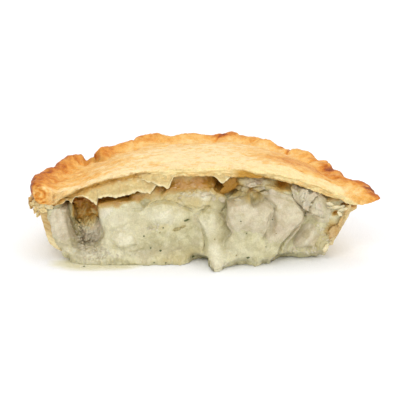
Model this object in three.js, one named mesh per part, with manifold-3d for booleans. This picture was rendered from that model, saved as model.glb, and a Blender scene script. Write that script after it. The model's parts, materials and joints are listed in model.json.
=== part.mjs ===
// Half of a small two-crust chicken pie, cut through the middle and resting on its flat base.
// A domed pastry lid with a crimped edge sits on a tapered pastry case; between them a cream sauce
// filling holds chunks of chicken, and both show at the cut, where the sauce has slumped forward.
//
// Units are millimetres and degrees, +Z up. The pie's axis is the Z axis and the cut lies along the
// X axis, facing -Y; the group is moved at the end so that its origin is under the middle of its box.

import * as THREE from "three";
import { mergeVertices } from "three/addons/utils/BufferGeometryUtils.js";
import Module from "manifold-3d";

const wasm = await Module();
wasm.setup();

// ---- driving dimensions ----
const baseRadius = 47.3; // flat underside of the case
const wallTopRadius = 56.8; // outside of the case's wall under the rim
const caseHeight = 21.2; // top of the case's flange
const floorThickness = 3;
const wallThickness = 2.6;
const rightWall = 3.6; // extra thickness of the layered wall at the right end of the cut
const baseShift = -2; // the case leans: its base lies this far along X from its rim
const rimRadius = 57.6; // outer edge of the crimped lid
const rollRadius = 3.3; // rounded section of the crimped edge
const rollFoot = 0.55; // the crimped edge's height over the case's flange
const cornerHeight = 4.4; // middle of the drawn-out corner over the flange
const valleyRadius = 49.5; // where the dome meets the crimped edge
const lidTop = 37.2; // crown of the dome
const domeDrop = 10.3; // from the crown down to the valley
const domePower = 2.6; // flat crown, steep shoulders
const lidTilt = 0.03; // the dome is a little lower on its left
const lidThickness = 3.6;
const plySag = 2.6; // the lid's lower plies hang this far down at the left of the cut
const lidOverhang = 1.6; // the lid's cut edge stands this far in front of the cut plane
const caseSetback = 1.6; // and the case's this far behind it
const cutSlant = 0.02; // the case's cut runs back towards the right
const ragged = 0.7; // unevenness of the cut pastry
const gap = 0.3; // clearance between touching pieces
const cutReach = 80; // half size of the blocks that cut the pie in two

// ---- small tools ----
const clamp01 = (t) => Math.min(1, Math.max(0, t));
const smoothstep = (a, b, t) => {
  const s = clamp01((t - a) / (b - a));
  return s * s * (3 - 2 * s);
};
const mix = (a, b, t) => a + (b - a) * t;
const bell = (t) => Math.exp(-t * t);

function hash(i, j, k) {
  const s = Math.sin(i * 127.1 + j * 311.7 + k * 74.7) * 43758.5453;
  return s - Math.floor(s);
}

// Smooth value noise in [-1, 1] with features about one unit across.
function noise(x, y, z) {
  const [i, j, k] = [Math.floor(x), Math.floor(y), Math.floor(z)];
  const [u, v, w] = [x - i, y - j, z - k].map((t) => t * t * (3 - 2 * t));
  let sum = 0;
  for (let c = 0; c < 8; c++) {
    const [a, b, d] = [c & 1, (c >> 1) & 1, c >> 2];
    sum += hash(i + a, j + b, k + d) * (a ? u : 1 - u) * (b ? v : 1 - v) * (d ? w : 1 - w);
  }
  return 2 * sum - 1;
}

// Height at x of a smooth line through a few [x, height] points.
function along(points, x) {
  if (x <= points[0][0]) return points[0][1];
  for (let i = 1; i < points.length; i++)
    if (x <= points[i][0]) {
      const [[x0, z0], [x1, z1]] = [points[i - 1], points[i]];
      return mix(z0, z1, smoothstep(x0, x1, x));
    }
  return points[points.length - 1][1];
}

// ---- geometry to solid and back ----
function bare(geometry) {
  geometry.deleteAttribute("normal");
  geometry.deleteAttribute("uv");
  return mergeVertices(geometry, 1e-4);
}

function solid(geometry) {
  const g = bare(geometry);
  const kept = [];
  for (let i = 0; i < g.index.count; i += 3) {
    const [a, b, c] = [g.index.getX(i), g.index.getX(i + 1), g.index.getX(i + 2)];
    if (a !== b && b !== c && a !== c) kept.push(a, b, c);
  }
  const make = (indices) =>
    new wasm.Manifold(
      new wasm.Mesh({
        numProp: 3,
        vertProperties: new Float32Array(g.attributes.position.array),
        triVerts: new Uint32Array(indices),
      }),
    );
  const made = make(kept);
  return made.volume() >= 0 ? made : make(kept.reverse());
}

function geometryOf(manifold) {
  const { vertProperties, triVerts } = manifold.getMesh();
  const g = new THREE.BufferGeometry();
  g.setAttribute("position", new THREE.BufferAttribute(new Float32Array(vertProperties), 3));
  g.setIndex(new THREE.BufferAttribute(new Uint32Array(triVerts), 1));
  g.computeVertexNormals();
  return g;
}

// Moves every vertex of a geometry by a function of its place.
function warp(geometry, move) {
  const g = bare(geometry);
  const p = g.attributes.position;
  for (let i = 0; i < p.count; i++) p.setXYZ(i, ...move(p.getX(i), p.getY(i), p.getZ(i)));
  return g;
}

const lathe = (profile, segments) =>
  new THREE.LatheGeometry(
    profile.map(([r, z]) => new THREE.Vector2(r, z)),
    segments,
  ).rotateX(Math.PI / 2);

// The largest body of a solid, without the scraps that a cut leaves.
const mainBody = (manifold) =>
  manifold.decompose().reduce((a, b) => (b.volume() > a.volume() ? b : a));

// A block behind a wavy front face: y = face(x, z), facing -Y.
function blockBehind(face, columns, rows, bottom, top) {
  const g = new THREE.BoxGeometry(2 * cutReach, cutReach, top - bottom, columns, 1, rows);
  g.translate(0, cutReach / 2, (top + bottom) / 2);
  return solid(warp(g, (x, y, z) => [x, y < 1 ? face(x, z) : y, z]));
}

// ---- the lid ----

// Crimps of the lid's edge, counted from the right end of the cut round the back to the left end.
// Each pushes the edge out and up by its amounts over its half width.
const crimps = [
  { at: 0, out: 8, up: -1.2, half: 4 }, // drawn-out corner
  { at: 7, out: 5.4, up: -0.2, half: 5.5 },
  { at: 16, out: -1.6, up: -0.6, half: 4 },
  { at: 26, out: -1.6, up: -1, half: 3 },
  { at: 31, out: -0.4, up: 0.4, half: 4 },
  { at: 37, out: -1.6, up: -1, half: 2.6 },
  { at: 46, out: -0.2, up: 0.6, half: 7 },
  { at: 56, out: -1.6, up: -1.2, half: 2.4 },
  { at: 64, out: 0.4, up: 0.5, half: 6 },
  { at: 88, out: 4.4, up: 0, half: 25 }, // drawn back behind the dome
  { at: 85, out: -1, up: -0.7, half: 2.6 },
  { at: 77, out: 1.8, up: 0.5, half: 5 },
  { at: 100, out: -0.9, up: -0.6, half: 2.4 },
  { at: 107, out: 2.6, up: 0.4, half: 7 },
  { at: 127, out: 2, up: 0.9, half: 4 },
  { at: 136, out: -5.4, up: -1.6, half: 3 },
  { at: 143, out: 0, up: 0.8, half: 4 },
  { at: 150, out: 1.4, up: 0.8, half: 6 },
  { at: 157, out: -0.8, up: -0.6, half: 2.2 },
  { at: 166, out: 2.4, up: 0.9, half: 7 },
  { at: 175, out: 2.4, up: 1.6, half: 6 }, // curled corner
];
const angleOf = (x, y) => (Math.atan2(Math.abs(y), x) * 180) / Math.PI;
const crimp = (degrees, way) =>
  crimps.reduce((sum, c) => sum + c[way] * bell((degrees - c.at) / c.half), 0);

const domeAt = (r) => lidTop - domeDrop * (r / valleyRadius) ** domePower;

const rollCentre = [rimRadius - rollRadius, caseHeight + rollFoot + rollRadius];
const domeSteps = 9;
const domeRings = Array.from({ length: domeSteps + 1 }, (_, i) => valleyRadius * (i / domeSteps) ** 0.8);

// Section of the lid's upper side, from its crown over the dome and round the crimped roll.
function lidTopside() {
  const [rollSteps, rollStart, rollTurn] = [7, 115, 215];
  const points = domeRings.map((r) => [r, domeAt(r)]);
  for (let i = 0; i <= rollSteps; i++) {
    const a = ((rollStart - (rollTurn * i) / rollSteps) * Math.PI) / 180;
    points.push([rollCentre[0] + rollRadius * Math.cos(a), rollCentre[1] + rollRadius * Math.sin(a)]);
  }
  return points;
}

// Section of its underside, from the foot of the roll back to the middle.
function lidUnderside(drop) {
  const foot = [valleyRadius + 1, caseHeight + rollFoot + 0.1 - drop];
  const rings = domeRings.slice(0, -1).reverse();
  return [foot, ...rings.map((r) => [r, domeAt(r) - lidThickness - drop])];
}

// Gives a round lid its crimps, its lean and its uneven baking.
function lidWarp(x, y, z) {
  const r = Math.hypot(x, y);
  const rim = smoothstep(valleyRadius - 9, rimRadius - 2, r);
  const degrees = angleOf(x, y);
  const scale = r > 1 ? (r + rim * crimp(degrees, "out")) / r : 1;
  const swell = 0.7 * noise(x / 15, y / 15, 3) + 0.35 * noise(x / 6, y / 6, 7);
  const lift = rim * crimp(degrees, "up") + (1 - rim) * (lidTilt * x + swell);
  const point = smoothstep(rimRadius - 4, rimRadius + 9, r * scale) * smoothstep(16, 8, degrees);
  const thin = mix(z, caseHeight + cornerHeight, 0.85 * point);
  return [x * scale, y * scale, thin + lift];
}

// The lid's lower plies sag at the left of the cut.
const sag = (x, y) =>
  plySag * smoothstep(-50, -42, x) * smoothstep(-13, -19, x) * smoothstep(14, 3, Math.abs(y));

// Front of the lid: the crisp top ply overhangs the plies under it.
function lidFace(x, z) {
  const left = smoothstep(-10, -22, x);
  const crown = domeAt(Math.abs(x)) + lidTilt * x;
  const underTopPly = smoothstep(crown - 1.3, crown - 2.1, z);
  const torn = ragged * noise(x / 3.1, z / 1.7, 11) + 0.5 * noise(x / 9, 0, 5);
  return torn - lidOverhang + 1.7 * underTopPly * (0.35 + left);
}

// Torn points that hang from the lid's cut edge: where, how wide and how long.
const tears = [
  { x: -45.6, width: 3, length: 3.4 },
  { x: -36.8, width: 5.4, length: 6.4 },
  { x: -11.6, width: 7, length: 3.6 },
  { x: 8.6, width: 8, length: 3.8 },
  { x: 36, width: 4, length: 1.8 },
];

function tear({ x, width, length }, grow = 0) {
  const [depth, rooted] = [1.1, 1.2]; // thickness of the point and how far its root is buried
  const root = domeAt(Math.abs(x)) + lidTilt * x - lidThickness - sag(x, 0) + rooted;
  const shape = new THREE.Shape([
    new THREE.Vector2(-width / 2, 0),
    new THREE.Vector2(width / 2, 0),
    new THREE.Vector2(width * 0.3, -length * 0.45),
    new THREE.Vector2(width * 0.18, -length),
    new THREE.Vector2(-width * 0.12, -length * 0.5),
  ]);
  const g = new THREE.ExtrudeGeometry(shape, { depth: depth + grow, bevelEnabled: false });
  g.rotateX(Math.PI / 2).translate(0, 1.2 + grow, 0);
  g.scale(1 + grow / 2, 1, 1 + grow / length).translate(x, 0, root);
  return solid(g);
}

const lidSegments = 100;
function makeLid() {
  const round = lathe([...lidTopside(), ...lidUnderside(0)], lidSegments);
  const shaped = warp(round, (x, y, z) => {
    const r = Math.hypot(x, y);
    const isUnder = r < valleyRadius + 0.5 && z < domeAt(r) - 1;
    return lidWarp(x, y, isUnder ? z - sag(x, y) : z);
  });
  const half = solid(shaped).intersect(blockBehind(lidFace, 74, 12, 16, 42));
  return tears.reduce((lid, t) => lid.add(tear(t)), half);
}

// ---- the case ----

// The wall bulges at the left end, and at the right end its layers part and show as ledges.
const bulge = (degrees, z) => 1.2 * smoothstep(146, 172, degrees) * smoothstep(1, 8, z);
const layerHeight = 5.2;
const ledges = (degrees, z) =>
  1.5 * smoothstep(34, 8, degrees) * ((z / layerHeight - 0.25) % 1) * smoothstep(2, 5, z);

function caseWarp(x, y, z) {
  const lean = baseShift * smoothstep(caseHeight, 0, z);
  const r = Math.hypot(x, y);
  const degrees = angleOf(x, y);
  const outside = smoothstep(0, 1.5, r - wallInside(z) - wallThickness / 2);
  const flange = smoothstep(17, 20, z) * smoothstep(46, 51, r);
  const out = crimp(degrees, "out");
  const follow = out < 0 ? out : Math.min(1.4, 0.6 * out); // under the lid's notches, it draws in too
  const flare = follow + 0.5 * noise(degrees / 7, 2, 2) - 2.4 * smoothstep(18, 6, degrees);
  const thick = rightWall * smoothstep(36, 10, degrees) * smoothstep(2, 7, z) * smoothstep(40, 44, r);
  const swell = bulge(degrees, z) + ledges(degrees, z);
  const push = outside * swell + flange * flare - (1 - outside) * thick;
  const scale = r > 1 ? (r + push) / r : 1;
  const rim = smoothstep(valleyRadius - 9, rimRadius - 2, r) * smoothstep(14, 20, z);
  return [x * scale + lean, y * scale, z + rim * crimp(degrees, "up")];
}

// Radius of the inside of the wall at a height.
const wallInside = (z) =>
  mix(baseRadius, wallTopRadius, clamp01(z / caseHeight) ** 0.85) - wallThickness;

// Section of the inside of the case, from the middle of its floor up to its rim.
function caseInside(clear = 0) {
  const corner = [wallInside(floorThickness) - 0.8 - clear, floorThickness + 0.6 + clear];
  return [
    ...[0, 24, 38].map((r) => [r, floorThickness + clear]),
    corner,
    ...[floorThickness + 3, 11, 15.5, 18, caseHeight - 1.4].map((z) => [wallInside(z) - clear, z]),
  ];
}

// Section of the outside, from the middle of the base up over the flange.
function caseOutside() {
  const bend = 2; // height of the round corner under the wall
  const heights = [5, 7.2, 8, 12.4, 13.2, 17.4, caseHeight - 2.4];
  return [
    ...[0, 22, 40].map((r) => [r, 0]),
    [baseRadius - 0.3, 0.4],
    [baseRadius + 0.6, bend],
    ...heights.map((z) => [wallInside(z) + wallThickness, z]),
    [wallTopRadius + 1.3, caseHeight - 0.8],
    [wallTopRadius + 0.9, caseHeight],
    [wallTopRadius - 3, caseHeight],
  ];
}

const caseSegments = 58;
const caseFace = (x, z) => caseSetback + cutSlant * x + ragged * noise(x / 3, z / 1.6, 21);

function makeCase() {
  const round = warp(lathe([...caseOutside(), ...caseInside().reverse()], caseSegments), caseWarp);
  return mainBody(solid(round).intersect(blockBehind(caseFace, 58, 9, -5, 30)));
}

// Space for the filling: inside the case or in front of its cut edge, and under the lid.
function makeRoom() {
  const ceiling = 45; // above everything
  const wall = caseInside(2.8 * gap);
  const mouth = wall[wall.length - 1][0];
  const bowl = lathe(
    [[0, ceiling], [mouth, ceiling], [mouth, caseHeight + 1], ...wall.reverse()], // facets as the case's
    caseSegments,
  );
  const apron = new THREE.BoxGeometry(2, 30, 60).translate(0, -15, 30);
  const behind = caseSetback - ragged - gap;
  const flareOut = (wallTopRadius - baseRadius) / caseHeight;
  const inFront = warp(apron, (side, y, z) => {
    const x = side * (baseRadius - 1 + flareOut * z) + baseShift;
    return [x, y + behind + cutSlant * x, z];
  });
  const [wide, below] = [rimRadius + 12, -10];
  const skirt = [[0, below], [wide, below], [wide, caseHeight - 6], [rimRadius - 3, caseHeight - 1]];
  const cover = warp(lathe([...skirt, ...lidUnderside(gap)], lidSegments), (x, y, z) =>
    z < 0 ? [x, y, z] : lidWarp(x, y, z - sag(x, y)),
  );
  return solid(warp(bowl, caseWarp)).add(solid(inFront)).intersect(solid(cover));
}

// ---- chicken ----

// Chunks by their outline on the cut, [x, z] points round their middle, with how far the front
// stands out of the cut plane, how deep they run behind it, and how square their edges are.
const chunks = [
  {
    name: "chicken_left", front: -1.4, back: 13, edge: 5,
    outline: [
      [-55, 20], [-50, 21], [-47.3, 20], [-44.5, 10.5],
      [-42, 7], [-44.5, 3.2], [-49.5, 3.4], [-53.6, 9],
    ],
  },
  {
    name: "chicken_left_low", front: 3, back: 15, edge: 3,
    outline: [[-42, 12.5], [-38, 15.5], [-33, 13], [-31, 7], [-34, 3.6], [-41, 3.6], [-43, 7]],
  },
  {
    name: "chicken_slab_left", front: -1, back: 16, edge: 6,
    outline: [
      [-36, 22], [-29, 23.4], [-21, 23.6], [-18.5, 20],
      [-22, 14], [-28, 10.5], [-34, 9.5], [-35, 15],
    ],
  },
  {
    name: "chicken_middle_low", front: -3.2, back: 7, edge: 3,
    outline: [[-32, 10], [-28, 13], [-22.5, 11.5], [-21, 7.5], [-24, 5], [-30, 5.4]],
  },
  {
    name: "chicken_top", front: 0.5, back: 13, edge: 3.4,
    outline: [
      [-6, 28], [-1, 30.4], [5, 29.6], [8.8, 26],
      [6.5, 20.5], [2, 18], [-4, 21], [-7, 24.5],
    ],
  },
  {
    name: "chicken_crumbled", front: 0.8, back: 12, edge: 2.8,
    outline: [[13.5, 25], [15, 30], [20, 32], [25.4, 31], [26, 26], [21.5, 24], [17, 23.6]],
  },
  {
    name: "chicken_right_slab", front: -3, back: 9, edge: 6,
    outline: [
      [23, 25.6], [26, 27.4], [31, 27.2], [34.5, 25.4], [38.7, 19.6],
      [38.4, 16], [33, 8], [29.4, 2.6], [22, 3.4], [21, 14],
    ],
  },
  {
    name: "chicken_front_slab", front: -6, back: 1, edge: 7,
    outline: [
      [11.2, 23.8], [18.8, 25.2], [20.3, 22.8], [24.4, 24.8], [27.8, 21.6],
      [26.2, 17.4], [23.4, 11], [17.2, 7.4], [13.2, 12.4], [11, 16],
    ],
  },
  {
    name: "chicken_upper_right", front: -0.6, back: 12, edge: 4,
    outline: [
      [34.4, 27.4], [39, 28], [43.6, 27], [47, 24], [49, 19],
      [48, 14.4], [44, 14.6], [40, 19], [37, 23],
    ],
  },
  {
    name: "chicken_lower_right", front: 0.6, back: 11, edge: 3.4,
    outline: [[38, 15.4], [43, 15], [45.4, 11], [43.6, 4.2], [37, 3.6], [31.4, 4], [33.6, 9]],
  },
];

const middleOf = (outline) =>
  [0, 1].map((k) => outline.reduce((sum, p) => sum + p[k], 0) / outline.length);

// A chunk is a ball pulled out to its outline, with squared edges and torn, uneven faces.
function makeChunk({ outline, front, back, edge }, grow = 0) {
  const count = outline.length;
  const middle = middleOf(outline);
  const depth = (back - front) / 2;
  const g = new THREE.SphereGeometry(1, 2 * count, 7);
  return solid(
    warp(g, (x, y, z) => {
      const flat = Math.hypot(x, z);
      const turn = ((Math.atan2(z, x) / (2 * Math.PI) + 1) % 1) * count;
      const [from, to] = [outline[Math.floor(turn) % count], outline[Math.ceil(turn) % count]];
      const corner = [0, 1].map((k) => mix(from[k], to[k], turn - Math.floor(turn)) - middle[k]);
      const reach = Math.hypot(...corner);
      const square = (flat ** edge + Math.abs(y) ** edge) ** (-1 / edge);
      const rough = 0.5 * noise(x * 2.3 + count, y * 2.3, z * 2.3 + front);
      const far = ((reach + rough + grow) / reach) * flat * square;
      return [
        middle[0] + far * corner[0],
        front + depth + y * square * (depth + grow) + rough * (1 - flat),
        middle[1] + far * corner[1],
      ];
    }),
  );
}

// ---- the filling ----

// Height of the filling along the cut, and how the hollow at the left runs back under the lid.
const fillTop = [
  [-56, 20.4], [-48, 20.2], [-46, 12], [-43, 6], [-36, 6], [-33, 12], [-20, 20], [-16, 23.5],
  [-8, 28], [3, 28.4], [8, 26.5], [11, 24.4], [14, 25.4], [19, 29], [26, 29.4], [31, 27.4],
  [36, 27.4], [43, 26], [48, 23], [54, 20.4],
];
const hollowBack = (x) => mix(5, 16, smoothstep(-50, -44, x) * smoothstep(-30, -37, x));

// Swells and folds of the sauce on the cut: middle, half sizes and how far they stand out.
const swells = [
  { x: -9, z: 12, rx: 11, rz: 8, out: 2.6 }, // broad middle
  { x: -12, z: 20, rx: 7, rz: 3, out: 1.4 }, // upper roll
  { x: -10, z: 25.4, rx: 8, rz: 1.2, out: -1.6 }, // fold under the upper sheet
  { x: -0.6, z: 13, rx: 2.4, rz: 7, out: -1.6 }, // crease beside the lobe
  { x: 5.6, z: 12, rx: 4, rz: 8, out: 3.2 }, // hanging lobe
  { x: 6.5, z: 4, rx: 4, rz: 3.4, out: 3 }, // foot of the lobe
  { x: 20, z: 7, rx: 9, rz: 6, out: 3.6 }, // sheet under the front slab
  { x: -30, z: 5, rx: 9, rz: 3, out: 1.6 }, // foot under the left chunks
  { x: 11, z: 20, rx: 2, rz: 3, out: -1.4 }, // dip beside the front slab
  { x: 40, z: 8, rx: 7, rz: 9, out: -1.6 }, // drawn back at the right
];

// How far the sauce has run forward over the table at x.
const runs = [
  { x: -34, half: 11, out: 4 },
  { x: -12, half: 8, out: 2.2 },
  { x: 7.5, half: 3.6, out: 8.8 }, // tip of the tongue
  { x: 16, half: 6, out: 4.4 },
  { x: 24, half: 5, out: 3.8 },
  { x: 40, half: 9, out: -2 },
];
const bottomRun = (x) => runs.reduce((sum, r) => sum + r.out * bell((x - r.x) / r.half), 0);

// Front of the filling: y at a place on the cut.
function fillFace(x, z) {
  const setIn = mix(0.9, -0.2, smoothstep(50, 30, Math.abs(x)));
  const stands = (s) => s.out * bell(Math.hypot((x - s.x) / s.rx, (z - s.z) / s.rz));
  const relief = swells.reduce((sum, s) => sum + stands(s), 0);
  const run = bottomRun(x) * smoothstep(9, 0.6, z) ** 1.6;
  const lumps = 0.45 * noise(x / 4, z / 4, 31) + 0.25 * noise(x / 1.8, z / 1.8, 37);
  return setIn - relief - run + lumps;
}

// Top of the filling: low at the cut, then up to just under the lid.
function fillHeight(x, y) {
  const [headroom, least, rise] = [1.6, 18, 9];
  const full = domeAt(Math.hypot(x, y)) + lidTilt * x - lidThickness - headroom;
  const lumps = 0.8 * noise(x / 5, y / 5, 41);
  const back = hollowBack(x);
  return mix(along(fillTop, x) + lumps, Math.max(full, least), smoothstep(back, back + rise, y));
}

function makeFilling(room, pockets) {
  const [left, right, deep] = [-57, 57, 62];
  const grid = new THREE.BoxGeometry(1, 1, 1, 52, 6, 14).translate(0.5, 0.5, 0.5);
  const block = warp(grid, (across, back, up) => {
    const x = mix(left, right, across);
    const inward = back ** 1.7;
    const z = up * fillHeight(x, inward * deep);
    return [x, mix(fillFace(x, z), deep, inward), z];
  });
  return mainBody(pockets.reduce((body, p) => body.subtract(p), solid(block).intersect(room)));
}

// ---- assembly ----
const looks = {
  crust: { color: 0xf3c987, roughness: 0.65 },
  case: { color: 0xe3c58f, roughness: 0.75 },
  cream: { color: 0xd2c79c, roughness: 0.35 },
  chicken: { color: 0xcdb899, roughness: 0.5 },
};

const pie = new THREE.Group();
function place(name, manifold, look) {
  const material = new THREE.MeshStandardMaterial({ ...look, metalness: 0 });
  const mesh = new THREE.Mesh(geometryOf(manifold), material);
  mesh.name = name;
  pie.add(mesh);
}

place("pastry_case", makeCase(), looks.case);
place("pastry_lid", makeLid(), looks.crust);

// Each chunk gives way to the torn pastry above it and to the chunks that lie in front of it.
const room = makeRoom();
const tearPockets = tears.map((t) => tear(t, gap));
const chunkPockets = chunks.map((chunk) => makeChunk(chunk, gap));
chunks.forEach((chunk, i) => {
  const cutters = [...tearPockets, ...chunkPockets.slice(i + 1)];
  const whole = makeChunk(chunk).intersect(room);
  place(chunk.name, mainBody(cutters.reduce((body, c) => body.subtract(c), whole)), looks.chicken);
});
place("cream_filling", makeFilling(room, [...tearPockets, ...chunkPockets]), looks.cream);

const box = new THREE.Box3().setFromObject(pie);
const foot = box.getCenter(new THREE.Vector3()).setZ(box.min.z);
pie.children.forEach((mesh) => mesh.geometry.translate(-foot.x, -foot.y, -foot.z));
pie.userData.axis = [-foot.x, -foot.y]; // where the pie's axis stands in the group's frame

export default pie;
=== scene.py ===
"""Half of a small chicken pot pie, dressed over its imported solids.

Each sub-assembly copies the solids that it stands for, rounds them into one fine skin, and then
works the skin like dough: crimps, wrinkles, plies, torn meat and slumped sauce. Distances in the
classes are in millimetres from the pie's axis, with the cut along x at y = 0, facing -y.
"""

import itertools
import json
import logging
import math
from collections.abc import Callable
from dataclasses import dataclass, field, replace
from enum import Enum

import bpy
import numpy as np
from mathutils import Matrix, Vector

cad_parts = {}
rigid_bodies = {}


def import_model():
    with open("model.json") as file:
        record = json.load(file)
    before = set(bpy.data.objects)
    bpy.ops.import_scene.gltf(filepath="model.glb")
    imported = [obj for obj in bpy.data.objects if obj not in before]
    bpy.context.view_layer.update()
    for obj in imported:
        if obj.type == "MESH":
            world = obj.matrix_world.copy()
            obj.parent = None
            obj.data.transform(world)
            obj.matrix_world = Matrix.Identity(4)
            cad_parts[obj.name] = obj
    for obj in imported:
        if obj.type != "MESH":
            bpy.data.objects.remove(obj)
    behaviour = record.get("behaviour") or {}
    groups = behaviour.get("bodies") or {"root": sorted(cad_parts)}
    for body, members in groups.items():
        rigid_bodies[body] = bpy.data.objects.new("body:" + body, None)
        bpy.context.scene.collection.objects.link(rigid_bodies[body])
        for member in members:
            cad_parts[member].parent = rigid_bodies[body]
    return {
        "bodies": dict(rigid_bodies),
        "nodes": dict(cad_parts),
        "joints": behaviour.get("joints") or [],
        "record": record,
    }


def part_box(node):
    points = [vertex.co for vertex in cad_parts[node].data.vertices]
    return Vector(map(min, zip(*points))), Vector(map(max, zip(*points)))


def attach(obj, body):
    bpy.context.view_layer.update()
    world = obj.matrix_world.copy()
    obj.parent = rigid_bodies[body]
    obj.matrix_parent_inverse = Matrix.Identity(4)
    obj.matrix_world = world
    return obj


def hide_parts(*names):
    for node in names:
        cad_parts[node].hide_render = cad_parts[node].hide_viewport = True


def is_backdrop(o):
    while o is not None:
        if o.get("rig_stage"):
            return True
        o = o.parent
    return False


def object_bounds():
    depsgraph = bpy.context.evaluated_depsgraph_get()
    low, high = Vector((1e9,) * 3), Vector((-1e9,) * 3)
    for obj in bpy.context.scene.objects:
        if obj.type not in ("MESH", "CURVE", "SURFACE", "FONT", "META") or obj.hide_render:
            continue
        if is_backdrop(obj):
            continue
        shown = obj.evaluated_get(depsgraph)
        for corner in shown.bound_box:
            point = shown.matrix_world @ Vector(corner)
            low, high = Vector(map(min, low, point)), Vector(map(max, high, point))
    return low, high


LOG = logging.getLogger("pot_pie")
MM = 0.001
Piece = bpy.types.Object
Socket = bpy.types.NodeSocket
Tree = bpy.types.NodeTree
Painted = tuple[object, object, object]  # a colour, a relief and how solid it is
Array = np.ndarray
HASH_STEPS = (73856093, 19349663, 83492791)  # large primes, which set neighbouring cells apart
HASH_SEED = 6700417
HASH_MIX = ((13, 1274126177), (15, 739982445))  # shift and factor of each round of mixing
HASH_MASK = 0x7FFFFFFF
OCTAVES = 4  # sizes that are added up in layered noise

Line = tuple[tuple[float, float], ...]


class Mark(Enum):
    """What is painted on the points of a piece, for its finish to read."""

    BROWN = "brown"
    DOUGH = "dough"
    # amber: juice stains, and painted shade with warm reflected light in the hollows under the lid
    AMBER = "amber"
    WARM = "warm"
    # pale: paler crust, cream and meat, and painted highlights and glints
    PALE = "pale"
    # painted shade, darkening recesses, creases, the lid's lower cut and sides turned from the light
    DIM = "dim"
    PINK = "pink"
    FIBRE = "fibre"
    THIN = "thin"


# the amber and painted-shade marks carry painted shade and warm reflected light as well as juice stains
JUICE_AND_SHADE_MARKS = (Mark.AMBER, Mark.WARM, Mark.DIM)  # the marks that sauce and meat share


# ---- numbers and noise ----


def ease(low: float, high: float, value: Array) -> Array:
    """A soft step from 0 at low to 1 at high."""
    share = np.clip((value - low) / (high - low), 0.0, 1.0)
    return share * share * (3.0 - 2.0 * share)


def bell(value: Array) -> Array:
    """A bell of height 1 and unit half width."""
    return np.exp(-value * value)


def linear(colour: str) -> tuple[float, float, float, float]:
    """Scene colour of a hexadecimal display colour.

    Args:
        colour: Six hexadecimal digits.

    Returns:
        Red, green, blue and 1.
    """
    parts = [int(colour[i : i + 2], 16) / 255.0 for i in (0, 2, 4)]
    red, green, blue = [
        part / 12.92 if part <= 0.04045 else ((part + 0.055) / 1.055) ** 2.4 for part in parts
    ]
    return (red, green, blue, 1.0)


def grain(at: Array, size: tuple[float, float, float] | float, seed: int) -> Array:
    """Smooth gradient noise in about [-1, 1].

    Args:
        at: The points.
        size: Size of its features along each axis, in millimetres.
        seed: Picks the pattern.

    Returns:
        One value for each point.
    """
    cells = at / np.asarray(size, dtype=float)
    base = np.floor(cells)
    inner = cells - base
    base = base.astype(np.int64)
    fade = inner**3 * (inner * (inner * 6.0 - 15.0) + 10.0)
    total = np.zeros(len(at))
    for corner in itertools.product((0, 1), repeat=3):
        step = np.array(corner)
        mark = np.bitwise_xor.reduce((base + step) * HASH_STEPS, axis=1) ^ seed * HASH_SEED
        for shift, factor in HASH_MIX:
            mark = ((mark ^ (mark >> shift)) * factor) & HASH_MASK
        # the slope is three numbers of ten bits each, brought to [-1, 1]
        slope = np.stack([(mark >> shift) & 1023 for shift in (1, 11, 21)], axis=1) / 511.5 - 1.0
        weight = np.prod(np.where(step == 1, fade, 1.0 - fade), axis=1)
        total += weight * np.sum(slope * (inner - step), axis=1)
    return total * 1.5


def layered_grain(at: Array, size: float, seed: int) -> Array:
    """Noise of several sizes added up, each half the size and weight of the one before.

    Args:
        at: The points.
        size: Size of the largest features.
        seed: Picks the pattern.

    Returns:
        One value for each point, in about [-1, 1].
    """
    total = np.zeros(len(at))
    for step in range(OCTAVES):
        total += grain(at, size / 2**step, seed + step) / 2**step
    return total / 1.6


def on_line(x: Array) -> Array:
    """Points that differ in x alone, for noise that runs along the cut."""
    return np.stack([x, 0 * x, 0 * x], axis=1)


def rows(kind: type, *values: tuple[float, ...]) -> tuple:
    """Makes one of a kind from each row of values."""
    return tuple(kind(*row) for row in values)


# ---- marks on the cut face ----


@dataclass(frozen=True)
class Patch:
    """A soft oval on the cut: its middle, half sizes, turn in degrees and strength."""

    x: float
    z: float
    wide: float
    high: float
    strength: float
    turn: float = 0.0

    def share(self, at: Array) -> Array:
        """Its strength at each point.

        Args:
            at: The points.

        Returns:
            One value for each point.
        """
        turn = math.radians(self.turn)
        across, up = at[:, 0] - self.x, at[:, 2] - self.z
        along = (across * math.cos(turn) + up * math.sin(turn)) / self.wide
        over = (up * math.cos(turn) - across * math.sin(turn)) / self.high
        return self.strength * np.exp(-(along**2) - over**2)


def line_distance(flat: Array, line: Line) -> tuple[Array, Array, Array]:
    """Distance of flat points from a line through a few points.

    Args:
        flat: Points in two dimensions, one to a row.
        line: Corners of the line.

    Returns:
        The distance, positive to the left of the line's direction; its size alone; and the share
        of the line's length at which the nearest place lies.
    """
    corners = np.array(line, dtype=float)
    lengths = np.linalg.norm(np.diff(corners, axis=0), axis=1)
    starts = np.concatenate([[0.0], np.cumsum(lengths)[:-1]])
    nearest = np.full(len(flat), 1e9)
    side = np.zeros(len(flat))
    share = np.zeros(len(flat))
    for first, second, length, start in zip(corners[:-1], corners[1:], lengths, starts):
        way = (second - first) / length
        reach = flat - first
        along = np.clip(reach @ way, 0, length)
        away = reach - along[:, None] * way
        distance = np.linalg.norm(away, axis=1)
        closer = distance < nearest
        nearest = np.where(closer, distance, nearest)
        side = np.where(closer, np.sign(way[0] * away[:, 1] - way[1] * away[:, 0]), side)
        share = np.where(closer, (start + along) / lengths.sum(), share)
    return side * nearest, nearest, share


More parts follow.
